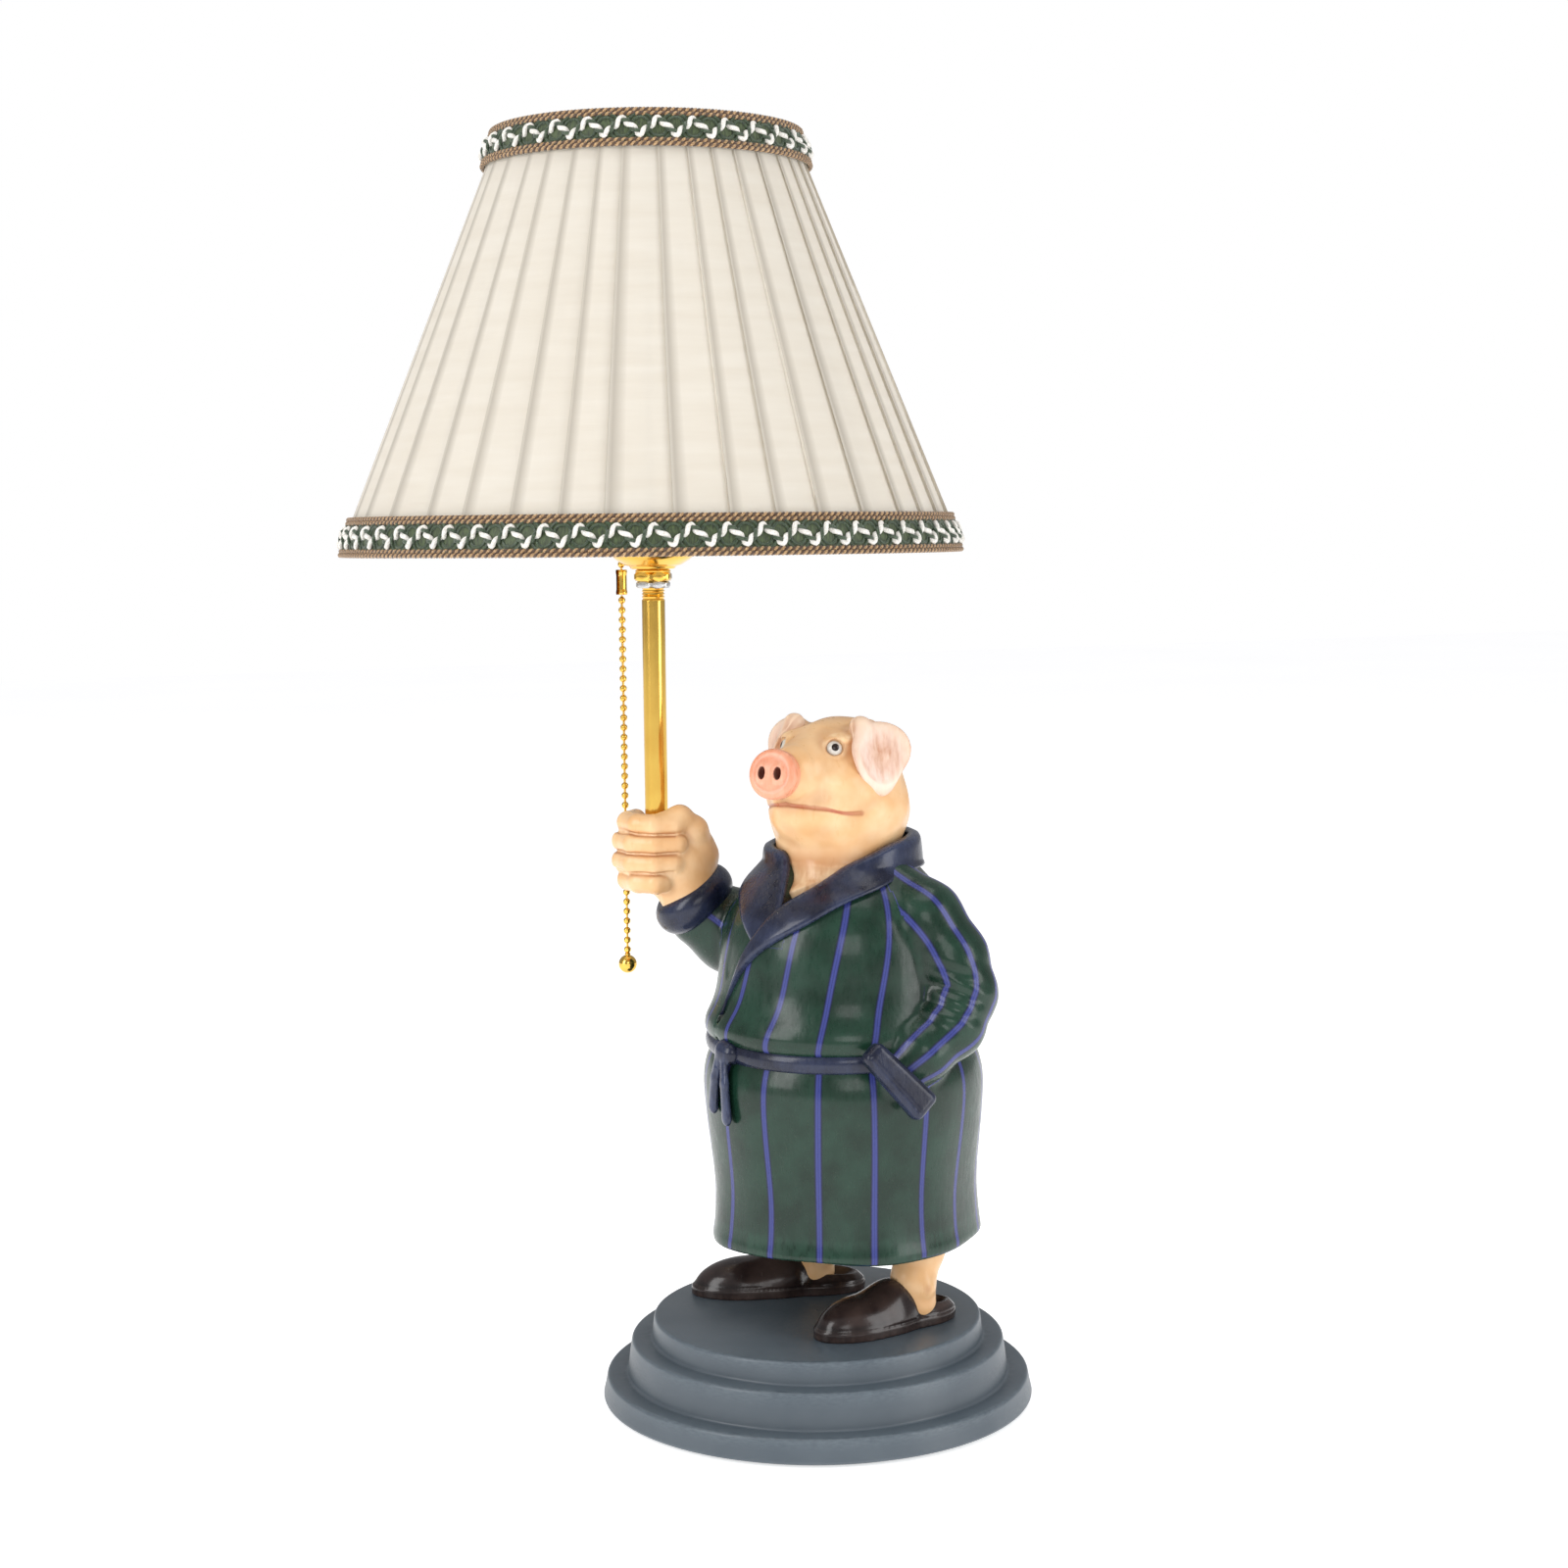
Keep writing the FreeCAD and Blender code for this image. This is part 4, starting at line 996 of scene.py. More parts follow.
def torso_stripes(points):
    """How far each point is from the middle of the nearest stripe of the body."""
    turn, reach = about_body(points)
    lean = STRIPE_LEAN * np.maximum(points[:, 2] - LEAN_FROM, 0)
    wander = 0.5 * np.sin(points[:, 2] / 17.0 + turn / 9.0)
    phase = (turn - lean - STRIPE_START) / STRIPE_GAP
    return np.sin(math.pi * phase + wander / 8) * math.radians(STRIPE_GAP) * reach / math.pi


def arm_stripes(points, stops, count, start):
    """The same along a bent arm: the stripes run from shoulder to cuff."""
    line = np.asarray(stops, float)[:, :3]
    middle = curved(line, 60)
    along = unit(np.gradient(middle, axis=0))
    plane = unit(np.cross(line[len(line) // 2] - line[0], line[-1] - line[0]))
    nearest = np.argmin(((points[:, None] - middle[None]) ** 2).sum(-1), axis=1)
    offset = points - middle[nearest]
    across = np.cross(along, plane)[nearest]
    turn = np.degrees(np.arctan2(offset @ plane, (offset * across).sum(1)))
    gap = 360.0 / count
    phase = (turn - start) / gap
    return np.sin(math.pi * phase) * math.radians(gap) * np.linalg.norm(offset, axis=1) / math.pi


def robe_solid():
    """The gown: CAD body and sleeves run together, with a hollow hem, folds and a closure."""
    p = grid(ROBE_LOW, ROBE_HIGH, ROBE_STEP)
    x, y, z = p
    body = cad_distance(["robe_body"], ROBE_LOW, np.broadcast(*p).shape, ROBE_STEP)
    girth = curved([(r, height, 0) for height, r in GIRTH], 120)
    turn = np.arctan2(y - BODY[1], x - BODY[0])
    reach = np.hypot(x - BODY[0], y - BODY[1])
    full = reach - np.interp(z, girth[:, 1], girth[:, 0])
    body = merge(body, np.maximum(full * 0.85, z - GIRTH[-1][0]), 2.0)
    left = limb(p, ARM_LEFT, 3.0)
    right = limb(p, ARM_RIGHT, 3.0)
    loose = np.clip((152 - z) / 70, 0, 1)
    body = body - 0.9 * loose * np.cos(5 * turn + 0.8) - 0.4 * loose * np.cos(9 * turn + z / 30)
    belly = np.exp(-(((z - 169) / 8) ** 2)) * np.clip(np.cos(turn + 0.9), 0, 1)
    body = body - 1.6 * belly
    bend = ball(p, ELBOW_FOLD, 0.0)
    ripple = np.cos((z + 0.45 * y) * 2 * math.pi / FOLD_PITCH)
    left = left - FOLD_DEPTH * np.exp(-((bend / 13) ** 2)) * ripple
    robe = merge(merge(body, left, 4.0), right, 4.5)
    robe = cut(robe, np.maximum(reach - HEM_HOLLOW[0], z - HEM_HOLLOW[1]), 1.5)
    robe = cut(robe, z + 0.8 * np.sin(3 * turn + 1) - HEM_Z, 1.4)
    opening = np.interp(np.degrees(turn), OPENING_TURN, OPENING_HEIGHT, period=360)
    robe = cut(robe, (opening - z) * 0.8, 0.8)
    closure = [body_point(angle, CLOSURE_REACH, height) for angle, height in CLOSURE]
    robe = groove(p, robe, closure, 1.0, 2.2)
    return {"robe": robe, "body": body, "left": left, "right": right}


def gown():
    solids = robe_solid()

    def stripes(points, _):
        near = [sampled(solids[name], ROBE_LOW, ROBE_STEP, points) for name in ("body", "left", "right")]
        owner = np.argmin(near, axis=0)
        stripe = torso_stripes(points)
        stripe = np.where(owner == 1, arm_stripes(points, ARM_LEFT, 8, 12.0), stripe)
        stripe = np.where(owner == 2, arm_stripes(points, ARM_RIGHT, 2, 60.0), stripe)
        turn, reach = about_body(points)
        lapels = (np.abs(turn + 75) < 20) & (points[:, 2] > 203)
        under = (points[:, 2] < HEM_Z + 0.6) | lapels
        inside = (reach < HEM_HOLLOW[0] + 0.9) & (points[:, 2] < HEM_HOLLOW[1] + 2)
        return {"stripe": np.where(under | inside, FAR, stripe)}

    cast("gown", solids["robe"], ROBE_LOW, ROBE_STEP, "robe_paint",
         ["robe_body", "sleeve_left", "sleeve_right"], more=stripes)
    return solids


def reach_at(solid, turn, height):
    """How far out the body's surface lies at these angles and heights."""
    out = np.zeros(len(turn))
    for k, (a, z) in enumerate(zip(turn, height)):
        inside = sampled(solid, ROBE_LOW, ROBE_STEP, body_point(a, REACHES, z)) < 0
        out[k] = REACHES[inside].max() if inside.any() else 0.0
    return out


# Collar edges as (turn, height) about the body: the inner edge at the neck and the outer edge.
COLLAR_INNER = [(-89, 174), (-85.5, 186), (-79, 198), (-71, 209), (-62, 219.6), (-44, 228), (-25.6, 235),
                (-7, 239.2), (16.8, 243.6), (50, 246), (90, 247), (130, 246), (165, 244), (200, 243),
                (235, 242), (262, 241), (281, 240), (291, 232), (298, 220), (300, 212)]
COLLAR_OUTER = [(-90, 172), (-88.5, 177), (-84, 184), (-77.5, 192), (-63.6, 202.7), (-43.9, 212.9),
                (-23.5, 221.9),
                (1, 227.3), (24, 231.5), (55, 232), (90, 232), (125, 231), (160, 230), (190, 228), (218, 226),
                (242, 223), (262, 218), (276, 211), (287, 204), (292, 200)]
COLLAR_LIFT = [0.6, 1.6, 2.6, 3.4, 4.0, 4.0, 4.2, 4.4, 4.6, 5.0,
               5.0, 5.0, 5.0, 4.8, 4.4, 3.8, 3.2, 2.8, 2.2, 1.4]
NECK_REACH = 29.0
BELT_ENDS = [[(14.5, -49.2, 155, 2.7), (17.0, -50.2, 145, 3.0), (18.6, -50.0, 131, 3.4)],
             [(11.0, -50.0, 155, 2.7), (8.6, -50.8, 146, 3.0), (6.6, -50.8, 134, 3.4)]]
KNOT_CREASE = [(9.5, -52.4, 161), (12.0, -52.6, 157), (11.5, -51.8, 152)]
WRIST = (-46.6, -36.1, 214.2)
WRIST_AXIS = (-0.12, -0.61, 0.78)
POCKET = (73.5, 2.0, 152.5)
POCKET_AXES = ((0.98, 0.0, 0.18), (0.1, 0.66, -0.745), (-0.12, 0.75, 0.65))
CUFF_ROUND = 3.2


def softened(values, rounds):
    """The values with each one but the ends drawn toward its neighbours, this many times."""
    for _ in range(rounds):
        values[1:-1] = (values[:-2] + values[1:-1] * 2 + values[2:]) / 4
    return values


def collar(solids):
    """One broad padded band: up from the belt on the left, round the neck, and down under it on the right."""
    count, over, under = 220, 18, 8
    inner = curved([(t, z, 0) for t, z in COLLAR_INNER], count)
    outer = curved([(t, z, lift) for (t, z), lift in zip(COLLAR_OUTER, COLLAR_LIFT)], count)
    across = np.concatenate([np.linspace(0, 1, over), np.linspace(1, 0, under)])
    rows = []
    for k, share in enumerate(across):
        turn, height = (inner[:, :2] + (outer[:, :2] - inner[:, :2]) * share).T
        reach = np.maximum(reach_at(solids["body"], turn, height), NECK_REACH + 1.5)
        reach = softened(reach, 30)
        edge = (1 - abs(2 * share - 1) ** 5) ** 0.5
        swell = (0.72 + 0.28 * share) * (0.25 + 0.75 * edge)
        proud = outer[:, 2] * swell if k < over else -1.5
        rows.append(body_point(turn, reach + proud, height))
    points = softened(np.stack(rows, 1), 3).reshape(-1, 3)
    # Painted highlight along both long edges of the band, and no painted shade.
    top = 5 * across[:over]
    ridge_highlight = np.concatenate([np.clip(1 - top, 0, 1) + np.clip(top - 4, 0, 1), np.zeros(under)])
    marks = {"recess_shade": np.zeros(len(points)), "ridge_highlight": np.tile(ridge_highlight, count) * 0.4}
    shape = (points, grid_faces(count, len(across)))
    piece("collar_band", shape, "navy_paint", ["shawl_collar"], marks=marks, sharp=180.0)


def belt(solids):
    """The belt, drawn round the waist as a soft rounded cord, and its knot and ends."""
    count = 240
    turn = np.linspace(-180, 180, count, endpoint=False)
    reach = reach_at(solids["body"], turn, np.full(count, BELT_Z))
    reach = np.convolve(np.tile(reach, 3), np.ones(9) / 9, "same")[count:2 * count]
    path = body_point(turn, np.minimum(reach + 1.2, 56.5), BELT_Z)
    path[:, 2] += 0.8 * np.sin(np.radians(2 * turn))
    shape = tube(path, 4.2, 20, True, flat=0.62)
    # A faint painted highlight all over the cord, and no painted shade.
    marks = {"recess_shade": np.zeros(len(shape[0])), "ridge_highlight": np.full(len(shape[0]), 0.1)}
    piece("belt_cord", shape, "navy_paint", ["belt"], marks=marks, sharp=180.0)
    low, high, step = np.array((-2.0, -58.0, 122.0)), np.array((30.0, -38.0, 170.0)), 0.35
    p = grid(low, high, step)
    knot = oval(p, (12.5, -47.2, 158.0), (5.6, 4.6, 5.2))
    knot = merge(knot, oval(p, (16.8, -46.2, 157.4), (3.4, 3.8, 4.4)), 1.6)
    squeeze = 1.9
    q = (p[0], p[1] * squeeze, p[2])
    ends = []
    for stops in BELT_ENDS:
        stops = [(x, y * squeeze, z, r) for x, y, z, r in stops]
        ends.append(limb(q, stops, 1.0) / 1.5)
    solid = merge(knot, np.minimum(*ends), 1.2)
    solid = groove(p, solid, KNOT_CREASE, 0.5, 0.7)
    cast("belt_knot", solid, low, step, "navy_paint", ["belt_ends"])


def cuffs():
    """The padded roll round the raised wrist, and the slanted cuff at the pocket."""
    out, across, rise = upright_axes(WRIST_AXIS)
    low, high, step = np.array((-72.0, -62.0, 182.0)), np.array((-20.0, -12.0, 236.0)), 0.45
    u, v, w = turned(grid(low, high, step), WRIST, (-across, rise, out))
    turn = np.arctan2(v, u)
    roll = np.hypot(np.hypot(u, v) - 12.6, w * 0.84) - 6.5 - 0.35 * np.cos(3 * turn + 1)
    cast("cuff_roll_right", roll, low, step, "navy_paint", ["cuff_right"])
    low, high, step = np.array((56.0, -24.0, 124.0)), np.array((92.0, 28.0, 180.0)), 0.45
    q = turned(grid(low, high, step), POCKET, POCKET_AXES)
    half = (4.0, 18.0, 6.2 + 0.05 * q[1])
    past = [np.abs(a) - h + CUFF_ROUND for a, h in zip(q, half)]
    beyond = np.sqrt(sum(np.maximum(e, 0) ** 2 for e in past))
    pad = beyond + np.minimum(reduce(np.maximum, past), 0) - CUFF_ROUND
    pad = groove(q, pad, [(4.4, -18.0, -3.0), (4.4, 18.0, -4.0)], 0.5, 0.9)
    cast("cuff_pocket_left", pad, low, step, "navy_paint", ["cuff_left"])


# ---------------------------------------------------------------- figure: head

HEAD_TURN = math.radians(27.0)
HEAD = np.array((5.0, 10.0, 267.0))
FACE = np.array((math.sin(HEAD_TURN), -math.cos(HEAD_TURN), 0.0))
SIDE = np.array((math.cos(HEAD_TURN), math.sin(HEAD_TURN), 0.0))
HEAD_AXES = (FACE, SIDE, UP)
HEAD_STEP = 0.5
HEAD_LOW = np.array((-34.0, -38.0, 208.0))
HEAD_HIGH = np.array((46.0, 50.0, 302.0))
EYE = (18.6, 11.4, 16.6)
EYE_DEPTH = 1.2
# An eye's parts: name, paint, half width, depth, sweep from its front, rings and segments.
EYE_PARTS = [
    ("eye_white_", "eye_white", 3.3, 2.7, math.pi, 22, 40),
    ("eye_iris_", "eye_paint", 3.36, 2.78, 0.5, 10, 32),
]
HANDS = ((1, "left"), (-1, "right"))
NOSTRIL = 3.7
MOUTH = [(35.5, 0, -5.4), (33.0, 6.5, -6.2), (27.5, 12.0, -7.8), (21.0, 17.8, -9.2), (15.0, 22.0, -9.6)]


def in_head(ahead, side, rise):
    """A point ahead of, left of and above the head's middle, in the row frame."""
    return HEAD + FACE * ahead + SIDE * side + UP * rise


def head_mass(p):
    """Skull, jowls, muzzle and neck before any line is pressed in."""
    q = turned(p, HEAD, HEAD_AXES)
    skull = oval(q, (-1.0, 0, 6.5), (27.0, 24.5, 22.5))
    jowls = oval(q, (-1.0, 0, -10.0), (29.5, 30.0, 21.0))
    jaw = oval(q, (13.0, 0, -11.0), (22.0, 20.5, 13.5))
    neck = limb(q, [(0, 0, -44, 26.5), (1, 0, -22, 26.5)])
    muzzle = limb(q, [(14, 0, 2, 17.5), (26, 0, 5.0, 13.2), (33, 0, 6.8, 10.4)], 4.0)
    bridge = limb(q, [(12, 0, 12, 13.5), (30, 0, 9, 9.0)], 3.0)
    mass = merge(merge(skull, jowls, 9.0), neck, 6.0)
    mass = merge(merge(mass, muzzle, 8.0), bridge, 5.0)
    mass = merge(mass, jaw, 6.0)
    for hand in (-1, 1):
        cheek = oval(q, (15.0, hand * 15.0, 1.0), (11.0, 10.0, 9.0))
        brow = oval(q, (14.5, hand * 11.5, 20.5), (6.0, 6.5, 3.2))
        mass = merge(merge(mass, cheek, 7.0), brow, 4.0)
    return mass


def mouth_lines():
    """The mouth's line on both sides of the muzzle."""
    lines = []
    for hand in (-1, 1):
        stops = [in_head(a, hand * s, r) for a, s, r in MOUTH]
        lines.append(settle(head_mass, curved(stops, 22), 0.1))
    return lines


def eye_axes(hand):
    """Axes of an eye: out of the head, across it, and up along it."""
    return upright_axes(FACE * 0.62 + SIDE * (hand * 0.72) + UP * 0.30)


def eye_middle(hand):
    return settle(head_mass, [in_head(EYE[0], hand * EYE[1], EYE[2])], EYE_DEPTH)[0]


def head():
    p = grid(HEAD_LOW, HEAD_HIGH, HEAD_STEP)
    solid = head_mass(p)
    lines = mouth_lines()
    for stops in lines:
        solid = groove(p, solid, stops, 0.6, 0.8)
    q = turned(p, HEAD, HEAD_AXES)
    chest = cad_distance(["robe_body"], HEAD_LOW, np.broadcast(*p).shape, HEAD_STEP) + 2.6
    solid = merge(solid, chest, 5.0)
    for hand in (-1, 1):
        middle, axes = eye_middle(hand), eye_axes(hand)
        solid = merge(solid, oval(p, middle, (2.8, 4.9, 4.8), axes), 1.8)
        solid = cut(solid, oval(p, middle + axes[0] * 2.4, (3.0, 3.7, 3.5), axes), 0.6)
        solid = merge(solid, oval(q, (5.0, hand * 19.0, 23.0), (6.0, 5.0, 6.0)), 5.0)
    rough = 0.25 * np.sin(p[0] / 3.1 + p[2] / 4.3) * np.sin(p[1] / 3.7 - p[2] / 5.1)
    points, faces = skin(solid + rough, HEAD_LOW, HEAD_STEP)
    marks = shade_highlight_marks(solid, HEAD_LOW, HEAD_STEP, points)
    gaps = [reduce(np.minimum, [rod(points.T, a, b, 0, 0) for a, b in zip(line, line[1:])]) for line in lines]
    marks["line"] = np.minimum(*gaps)
    # Painted shade on the neck, darker down toward the collar.
    marks["recess_shade"] = np.maximum(marks["recess_shade"], 0.35 * np.clip((246 - points[:, 2]) / 10, 0, 1))
    piece("pig_head", (points, faces), "skin_paint", ["head"], marks=marks, sharp=180.0)


def eyes():
    """A pale eyeball with a dark iris, set under soft lids."""
    for hand, side in HANDS:
        axes = np.stack(eye_axes(hand))
        middle = eye_middle(hand) + axes[0] * 0.6
        for part, paint, wide, deep, sweep, rings, segments in EYE_PARTS:
            turn = np.linspace(0.001, sweep, rings)
            outline = np.stack([wide * np.sin(turn), deep * np.cos(turn)], -1)
            points, faces = lathe(outline, (0, 0), segments, False)
            shape = (points[:, [2, 0, 1]] @ axes + middle, faces)
            replaces = ["eye_" + side] if part == "eye_white_" else ()
            piece(part + side, shape, paint, replaces)


def snout():
    """A flat rounded disc with a soft rim and two upright nostrils."""
    middle = in_head(43.6, 0, 7.6)
    axes = upright_axes(FACE * 0.95 + SIDE * 0.16 + UP * 0.17)
    low, step = middle - 15.0, 0.35
    q = turned(grid(low, middle + 15.0, step), middle, axes)
    f, s, u = q
    reach = np.hypot(s, u * 1.03)
    edge = np.stack(np.broadcast_arrays(reach - 8.2, np.abs(f) - 1.4))
    disc = np.hypot(*np.maximum(edge, 0)) + np.minimum(edge.max(0), 0) - 2.6
    disc = merge(disc, oval(q, (1.8, 0, 0), (3.6, 8.0, 7.6)), 1.5)
    disc = merge(disc, np.hypot(reach - 9.0, f - 2.2) - 1.5, 1.2)
    for hand in (-1, 1):
        disc = merge(disc, oval(q, (3.8, hand * NOSTRIL, 0.2), (2.0, 2.9, 4.0)), 1.4)
        disc = cut(disc, oval(q, (6.4, hand * NOSTRIL, 0.2), (5.2, 1.55, 2.6)), 0.7)

    def nostrils(points, _):
        local = turned(points.T, middle, axes)
        hole = np.minimum(*[oval(local, (6.4, h * NOSTRIL, 0.2), (5.2, 1.6, 2.65)) for h in (-1, 1)])
        return {"nostril": np.clip(0.6 - hole / 0.5, 0, 1)}

    cast("snout_disc", disc, low, step, "snout_paint", ["snout"], more=nostrils)


# Ear outline in the head's axes: top, outer edge, lower tip and front edge.
EAR_TOP = (8.0, 20.5, 26.5)
EAR_OUTER = (-4.0, 36.5, 15.0)
EAR_TIP = (7.5, 27.5, -1.0)
EAR_FRONT = (13.8, 21.3, 11.0)


def ear(hand, side):
    """A folded flap that hangs from the top of the head, hollowed on its inner face."""
    corner = [in_head(a, hand * s, r) for a, s, r in (EAR_TOP, EAR_OUTER, EAR_TIP, EAR_FRONT)]
    top, outer, tip, front = corner
    middle = sum(corner) / 4
    long_axis = unit(tip - top)
    wide = outer - front
    wide = unit(wide - long_axis * (wide @ long_axis))
    thin = np.cross(long_axis, wide)
    thin *= np.sign(thin @ (FACE + SIDE * hand * 0.6))

    def curled(p):
        a, b, c = turned(p, middle, (long_axis, wide, thin))
        return a, b, c - 0.022 * b**2 + 0.012 * a**2 - 1.0

    low, step = middle - 23.0, 0.4
    p = grid(low, middle + 23.0, step)
    q = curled(p)
    flap = oval(q, (-3.0, 0.5, 0), (12.5, 12.6, 2.3))
    flap = merge(flap, oval(q, (5.0, -2.0, 0), (11.0, 8.0, 2.2)), 4.0)
    flap = cut(flap, oval(q, (-1.0, 0.8, 2.6), (12.0, 9.4, 2.5)), 1.2)
    root = limb(p, [(*(top - thin * 2.5 - wide * 2), 4.6), (*(front - thin * 3.4 + UP * 2), 3.4)])

    def inside(points, _):
        a, b, c = curled(points.T)
        return {"inside": np.clip(c / 1.2, 0, 1) * np.clip(1.5 - np.hypot(a / 12, b / 9.5), 0, 1)}

    flap = merge(flap, root, 3.0)
    cast("ear_flap_" + side, flap, low, step, "ear_paint", ["ear_" + side], inside)


# ---------------------------------------------------------------- figure: hand, legs and slippers

HAND_AXES = (TOWARD_CAMERA, IMAGE_RIGHT, UP)
HAND = np.array((POLE[0], POLE[1], 0.0))
FINGERS = [(249.0, 12.6, 8.5, 4.6), (240.8, 14.6, 9.5, 4.9), (232.2, 14.8, 7.8, 4.9), (223.8, 12.6, 2.5, 4.8)]
THUMB = [(0, 19, 234, 8.0), (6.0, 16.0, 245.5, 6.3), (10.0, 10.5, 251.4, 5.4), (11.5, 4.2, 250.0, 4.7)]


def hand_mass(p):
    """The palm, the wrist, four fingers curled round the tube and the thumb over them."""
    q = turned(p, HAND, HAND_AXES)
    palm = oval(q, (-1.0, 6.0, 235.0), (14.5, 19.0, 18.5))
    wrist = limb(q, [(0, 10, 228, 15.0), (-1.5, 15.5, 212, 13.5)])
    mass = merge(palm, wrist, 6.0)
    fingers = []
    for height, spread, tip, size in FINGERS:
        stops = [(-9, 3 - spread, height, size), (1, -spread, height, size), (10.5, 5 - spread, height, size),
                 (14.6, 0, height, size), (13.6, tip, height, size * 0.92)]
        fingers.append(limb(q, stops, 1.0))
    mass = merge(mass, reduce(lambda a, b: merge(a, b, 1.6), fingers), 2.2)
    return merge(mass, limb(q, THUMB, 2.5), 2.0)


def fist():
    """The fist, with creases between its fingers and clear ways for the tube and the chain."""
    low, high, step = np.array((-82.0, -84.0, 196.0)), np.array((-18.0, -18.0, 261.0)), 0.42
    p = grid(low, high, step)
    solid = hand_mass(p)
    for (upper, spread, tip, _), (lower, *_rest) in zip(FINGERS, FINGERS[1:]):
        arc = [(-6, -spread - 3.6), (2, -spread - 4.6), (11, -spread + 1.0), (17.5, -2.0), (17.6, tip)]
        level = HAND + UP * (upper + lower) / 2
        stops = [level + TOWARD_CAMERA * a + IMAGE_RIGHT * t for a, t in arc]
        crease = settle(hand_mass, curved(stops, 16))
        solid = groove(p, solid, crease, 0.5, 1.0)
    for centre, radius, soft in ((POLE, 5.3, 0.5), (CHAIN, 2.5, 0.8)):
        solid = cut(solid, np.hypot(p[0] - centre[0], p[1] - centre[1]) - radius, soft)

    # Painted shade in the finger creases at half strength, and no painted line.
    def half_shade(points, marks):
        return {"recess_shade": marks["recess_shade"] * 0.5, "line": np.full(len(points), FAR)}

    cast("fist", solid, low, step, "skin_paint", ["fist_right"], more=half_shade)


LEGS = {"left": ((31.0, 34.0), (33.0, 30.0)), "right": ((-27.0, 16.0), (-29.0, 12.0))}
SLIPPERS = {"left": ((29.5, 50.0), (38.5, -18.0), 13.0), "right": ((-21.0, 33.0), (-47.0, -38.5), 13.5)}

# A slipper's ovals as (place along, height) and (length, width, tallness), by the slipper's own size.
SLIPPER_LOBES = {
    "heel": (0.26, 3, 0.27, 0.86, 60),
    "ball": (0.68, 3, 0.33, 1.06, 60),
    "waist": (0.45, 3, 0.3, 0.88, 60),
    "toe": (0.67, 2.0, 0.33, 1.04, 14.0),
    "tongue": (0.47, 4.0, 0.20, 0.95, 16.5),
    "quarter": (0.22, 3.0, 0.23, 0.84, 8.0),
    "foot": (0.20, 15.0, 0.21, 0.66, 11.0),
    "ankle": (0.28, 24.0, 0.17, 0.72, 12.0),
}


def legs():
    """Bare calves with ankle bones, shaded where they go up under the hem."""
    def shaded(points, marks):
        dark = 0.5 * np.clip((points[:, 2] - 66) / 8, 0, 1)
        return {"recess_shade": np.maximum(marks["recess_shade"], dark), "line": np.full(len(points), FAR)}

    step = 0.6
    for side, (upper, foot) in LEGS.items():
        low = np.array((upper[0] - 16.0, upper[1] - 18.0, 36.0))
        p = grid(low, low + (32, 36, 50), step)
        calf = limb(p, [(*upper, 84, 12.0), (*upper, 68, 10.8), (*foot, 55, 9.2), (*foot, 45, 9.8)], 3.0)
        ankle = np.minimum(*[ball(p, (foot[0] + s * 7.4, foot[1] + 2, 53.0), 3.4) for s in (-1, 1)])
        leg = merge(calf, ankle, 3.5)
        cast("leg_skin_" + side, leg, low, step, "skin_paint", ["leg_" + side], more=shaded)


def slippers():
    """Backless slippers: a thick sole, a full toe and a tongue edge round the foot."""
    step = 0.55
    for side, (heel, toe, half) in SLIPPERS.items():
        heel, toe = np.array((*heel, SEAT_Z)), np.array((*toe, SEAT_Z))
        length = np.linalg.norm(toe - heel)
        along = (toe - heel) / length
        low = np.minimum(heel, toe) - (20, 20, 2)
        high = np.maximum(heel, toe) + (20, 20, 30)
        q = turned(grid(low, high, step), heel, (along, np.cross(UP, along), UP))
        lobes = {}
        for lobe, (at, rise, long, wide, tall) in SLIPPER_LOBES.items():
            lobes[lobe] = oval(q, (length * at, 0, rise), (length * long, half * wide, tall))
        sole = merge(np.minimum(lobes["heel"], lobes["ball"]), lobes["waist"], 3.0)
        sole = np.maximum(sole, np.abs(q[2] - 2.6) - 2.5)
        upper = merge(lobes["toe"], lobes["tongue"], 6.0)
        shoe = merge(merge(upper, lobes["quarter"], 3.0), sole, 1.2)
        shoe = cut(shoe, merge(lobes["foot"], lobes["ankle"], 2.0), 1.0)
        shoe = np.maximum(shoe, 0.05 - q[2])
        welt = np.abs(q[2] - 4.6) + np.maximum(np.abs(shoe) - 0.6, 0)
        shoe = shoe + 0.5 * np.exp(-((welt / 0.5) ** 2))
        cast("slipper_shoe_" + side, shoe, low, step, "slipper_paint", ["slipper_" + side])


def figure():
    solids = gown()
    collar(solids)
    belt(solids)
    cuffs()
    head()
    eyes()
    snout()
    for hand, side in HANDS:
        ear(hand, side)
    fist()
    legs()
    slippers()


# ---------------------------------------------------------------- camera, floor and light

LENS_MM = 58.3
CAMERA_AT = (0.9733, -0.4672, 0.3744)
CAMERA_TURNS = ((65.0, "Z"), (90.0 - 5.67, "X"), (-0.58, "Z"))
FLOOR_HALF = 6.0
ROOM = (0.4, 0.4, 0.41, 1.0)
BACKDROP = (1.0, 1.0, 1.0, 1.0)

# Each light's name, place, aim, width, height and power.
AIM = (0.0, 0.0, 0.25)
LIGHTS = [
    ("key_left", (0.9, -1.2, 0.9), AIM, 0.6, 1.2, 12.0),
    ("fill_right", (0.7, 1.4, 0.6), AIM, 0.6, 1.4, 10.0),
    ("top", (0.1, 0.0, 1.7), (0, 0, 0.2), 1.2, 1.2, 9.0),
    ("front", (1.9, 0.2, 0.9), AIM, 0.7, 0.7, 4.5),
]


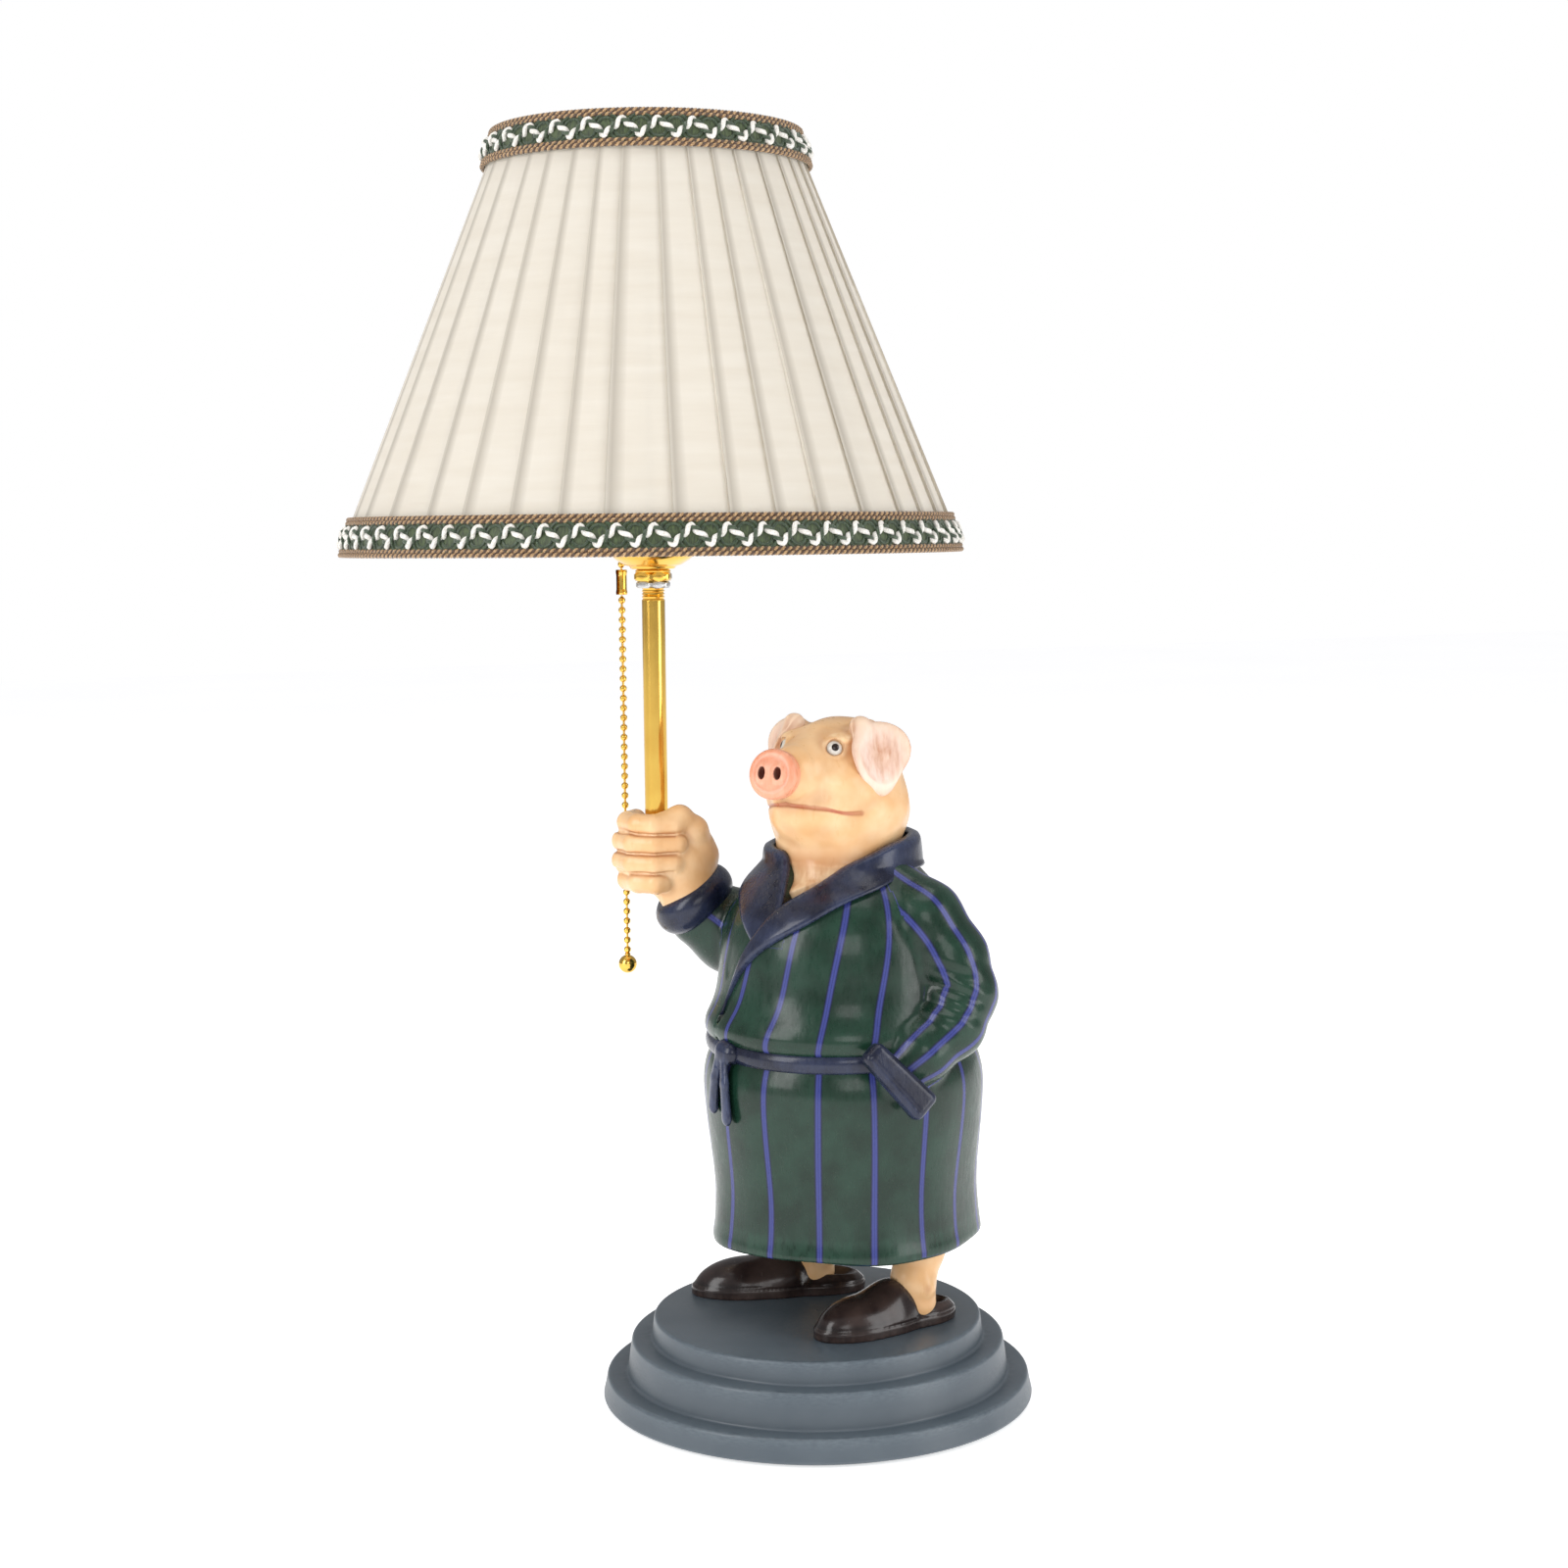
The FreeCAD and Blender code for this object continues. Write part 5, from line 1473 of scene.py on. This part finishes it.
def camera():
    lens = bpy.data.cameras.new("camera")
    lens.lens = LENS_MM
    lens.sensor_width = 36.0
    lens.clip_end = 20.0
    eye = bpy.data.objects.new("camera", lens)
    bpy.context.scene.collection.objects.link(eye)
    spin, tip, roll = [Matrix.Rotation(math.radians(angle), 4, axis) for angle, axis in CAMERA_TURNS]
    eye.matrix_world = Matrix.Translation(CAMERA_AT) @ spin @ tip @ roll
    bpy.context.scene.camera = eye


def floor():
    mesh = bpy.data.meshes.new("floor")
    corners = [(x * FLOOR_HALF, y * FLOOR_HALF, 0) for x, y in ((-1, -1), (1, -1), (1, 1), (-1, 1))]
    mesh.from_pydata(corners, [], [(0, 1, 2, 3)])
    made, tree, shader = material("floor", Roughness=0.9, Specular_IOR_Level=0.05, Emission_Strength=0.62)
    tone = blend(tree, noise(tree, 400.0), colour(250, 250, 250), colour(253, 253, 253))
    wire(tree, shader, Base_Color=tone, Emission_Color=tone)
    mesh.materials.append(made)
    sheet = bpy.data.objects.new("floor", mesh)
    bpy.context.scene.collection.objects.link(sheet)


def lamp(name, spot, aim, width, height, power):
    """A soft light, placed and aimed in metres along (toward the camera, image right, up)."""
    light = bpy.data.lights.new(name, "AREA")
    light.shape = "RECTANGLE"
    light.size, light.size_y, light.energy = width, height, power
    thing = bpy.data.objects.new(name, light)
    axes = np.stack([TOWARD_CAMERA, IMAGE_RIGHT, UP])
    place_at, look_at = np.asarray(spot) @ axes, np.asarray(aim) @ axes
    back = place_at - look_at
    thing.location = place_at
    thing.rotation_mode = "QUATERNION"
    thing.rotation_quaternion = Vector(back).to_track_quat("Z", "Y")
    bpy.context.scene.collection.objects.link(thing)


def studio():
    for light in LIGHTS:
        lamp(*light)
    world = bpy.data.worlds.new("studio")
    world.use_nodes = True
    tree = world.node_tree
    seen = add(tree, "ShaderNodeLightPath").outputs["Is Camera Ray"]
    tree.links.new(blend(tree, seen, ROOM, BACKDROP), tree.nodes["Background"].inputs["Color"])
    bpy.context.scene.world = world
    bpy.context.scene.view_settings.view_transform = "Standard"


def paint_cad():
    """The CAD nodes that stay in view take their slots' finishes."""
    slots = {row["node"]: row["material_slot"] for row in frame["record"]["subparts"]}
    for node, thing in frame["nodes"].items():
        thing.data.materials.clear()
        thing.data.materials.append(PAINTS.get(slots[node], PAINTS["brass"]))


paint_cad()
plinth()
felt()
bush()
column()
cap()
shell()
nut_ring()
bulb()
chain()
shade()
figure()
camera()
floor()
studio()
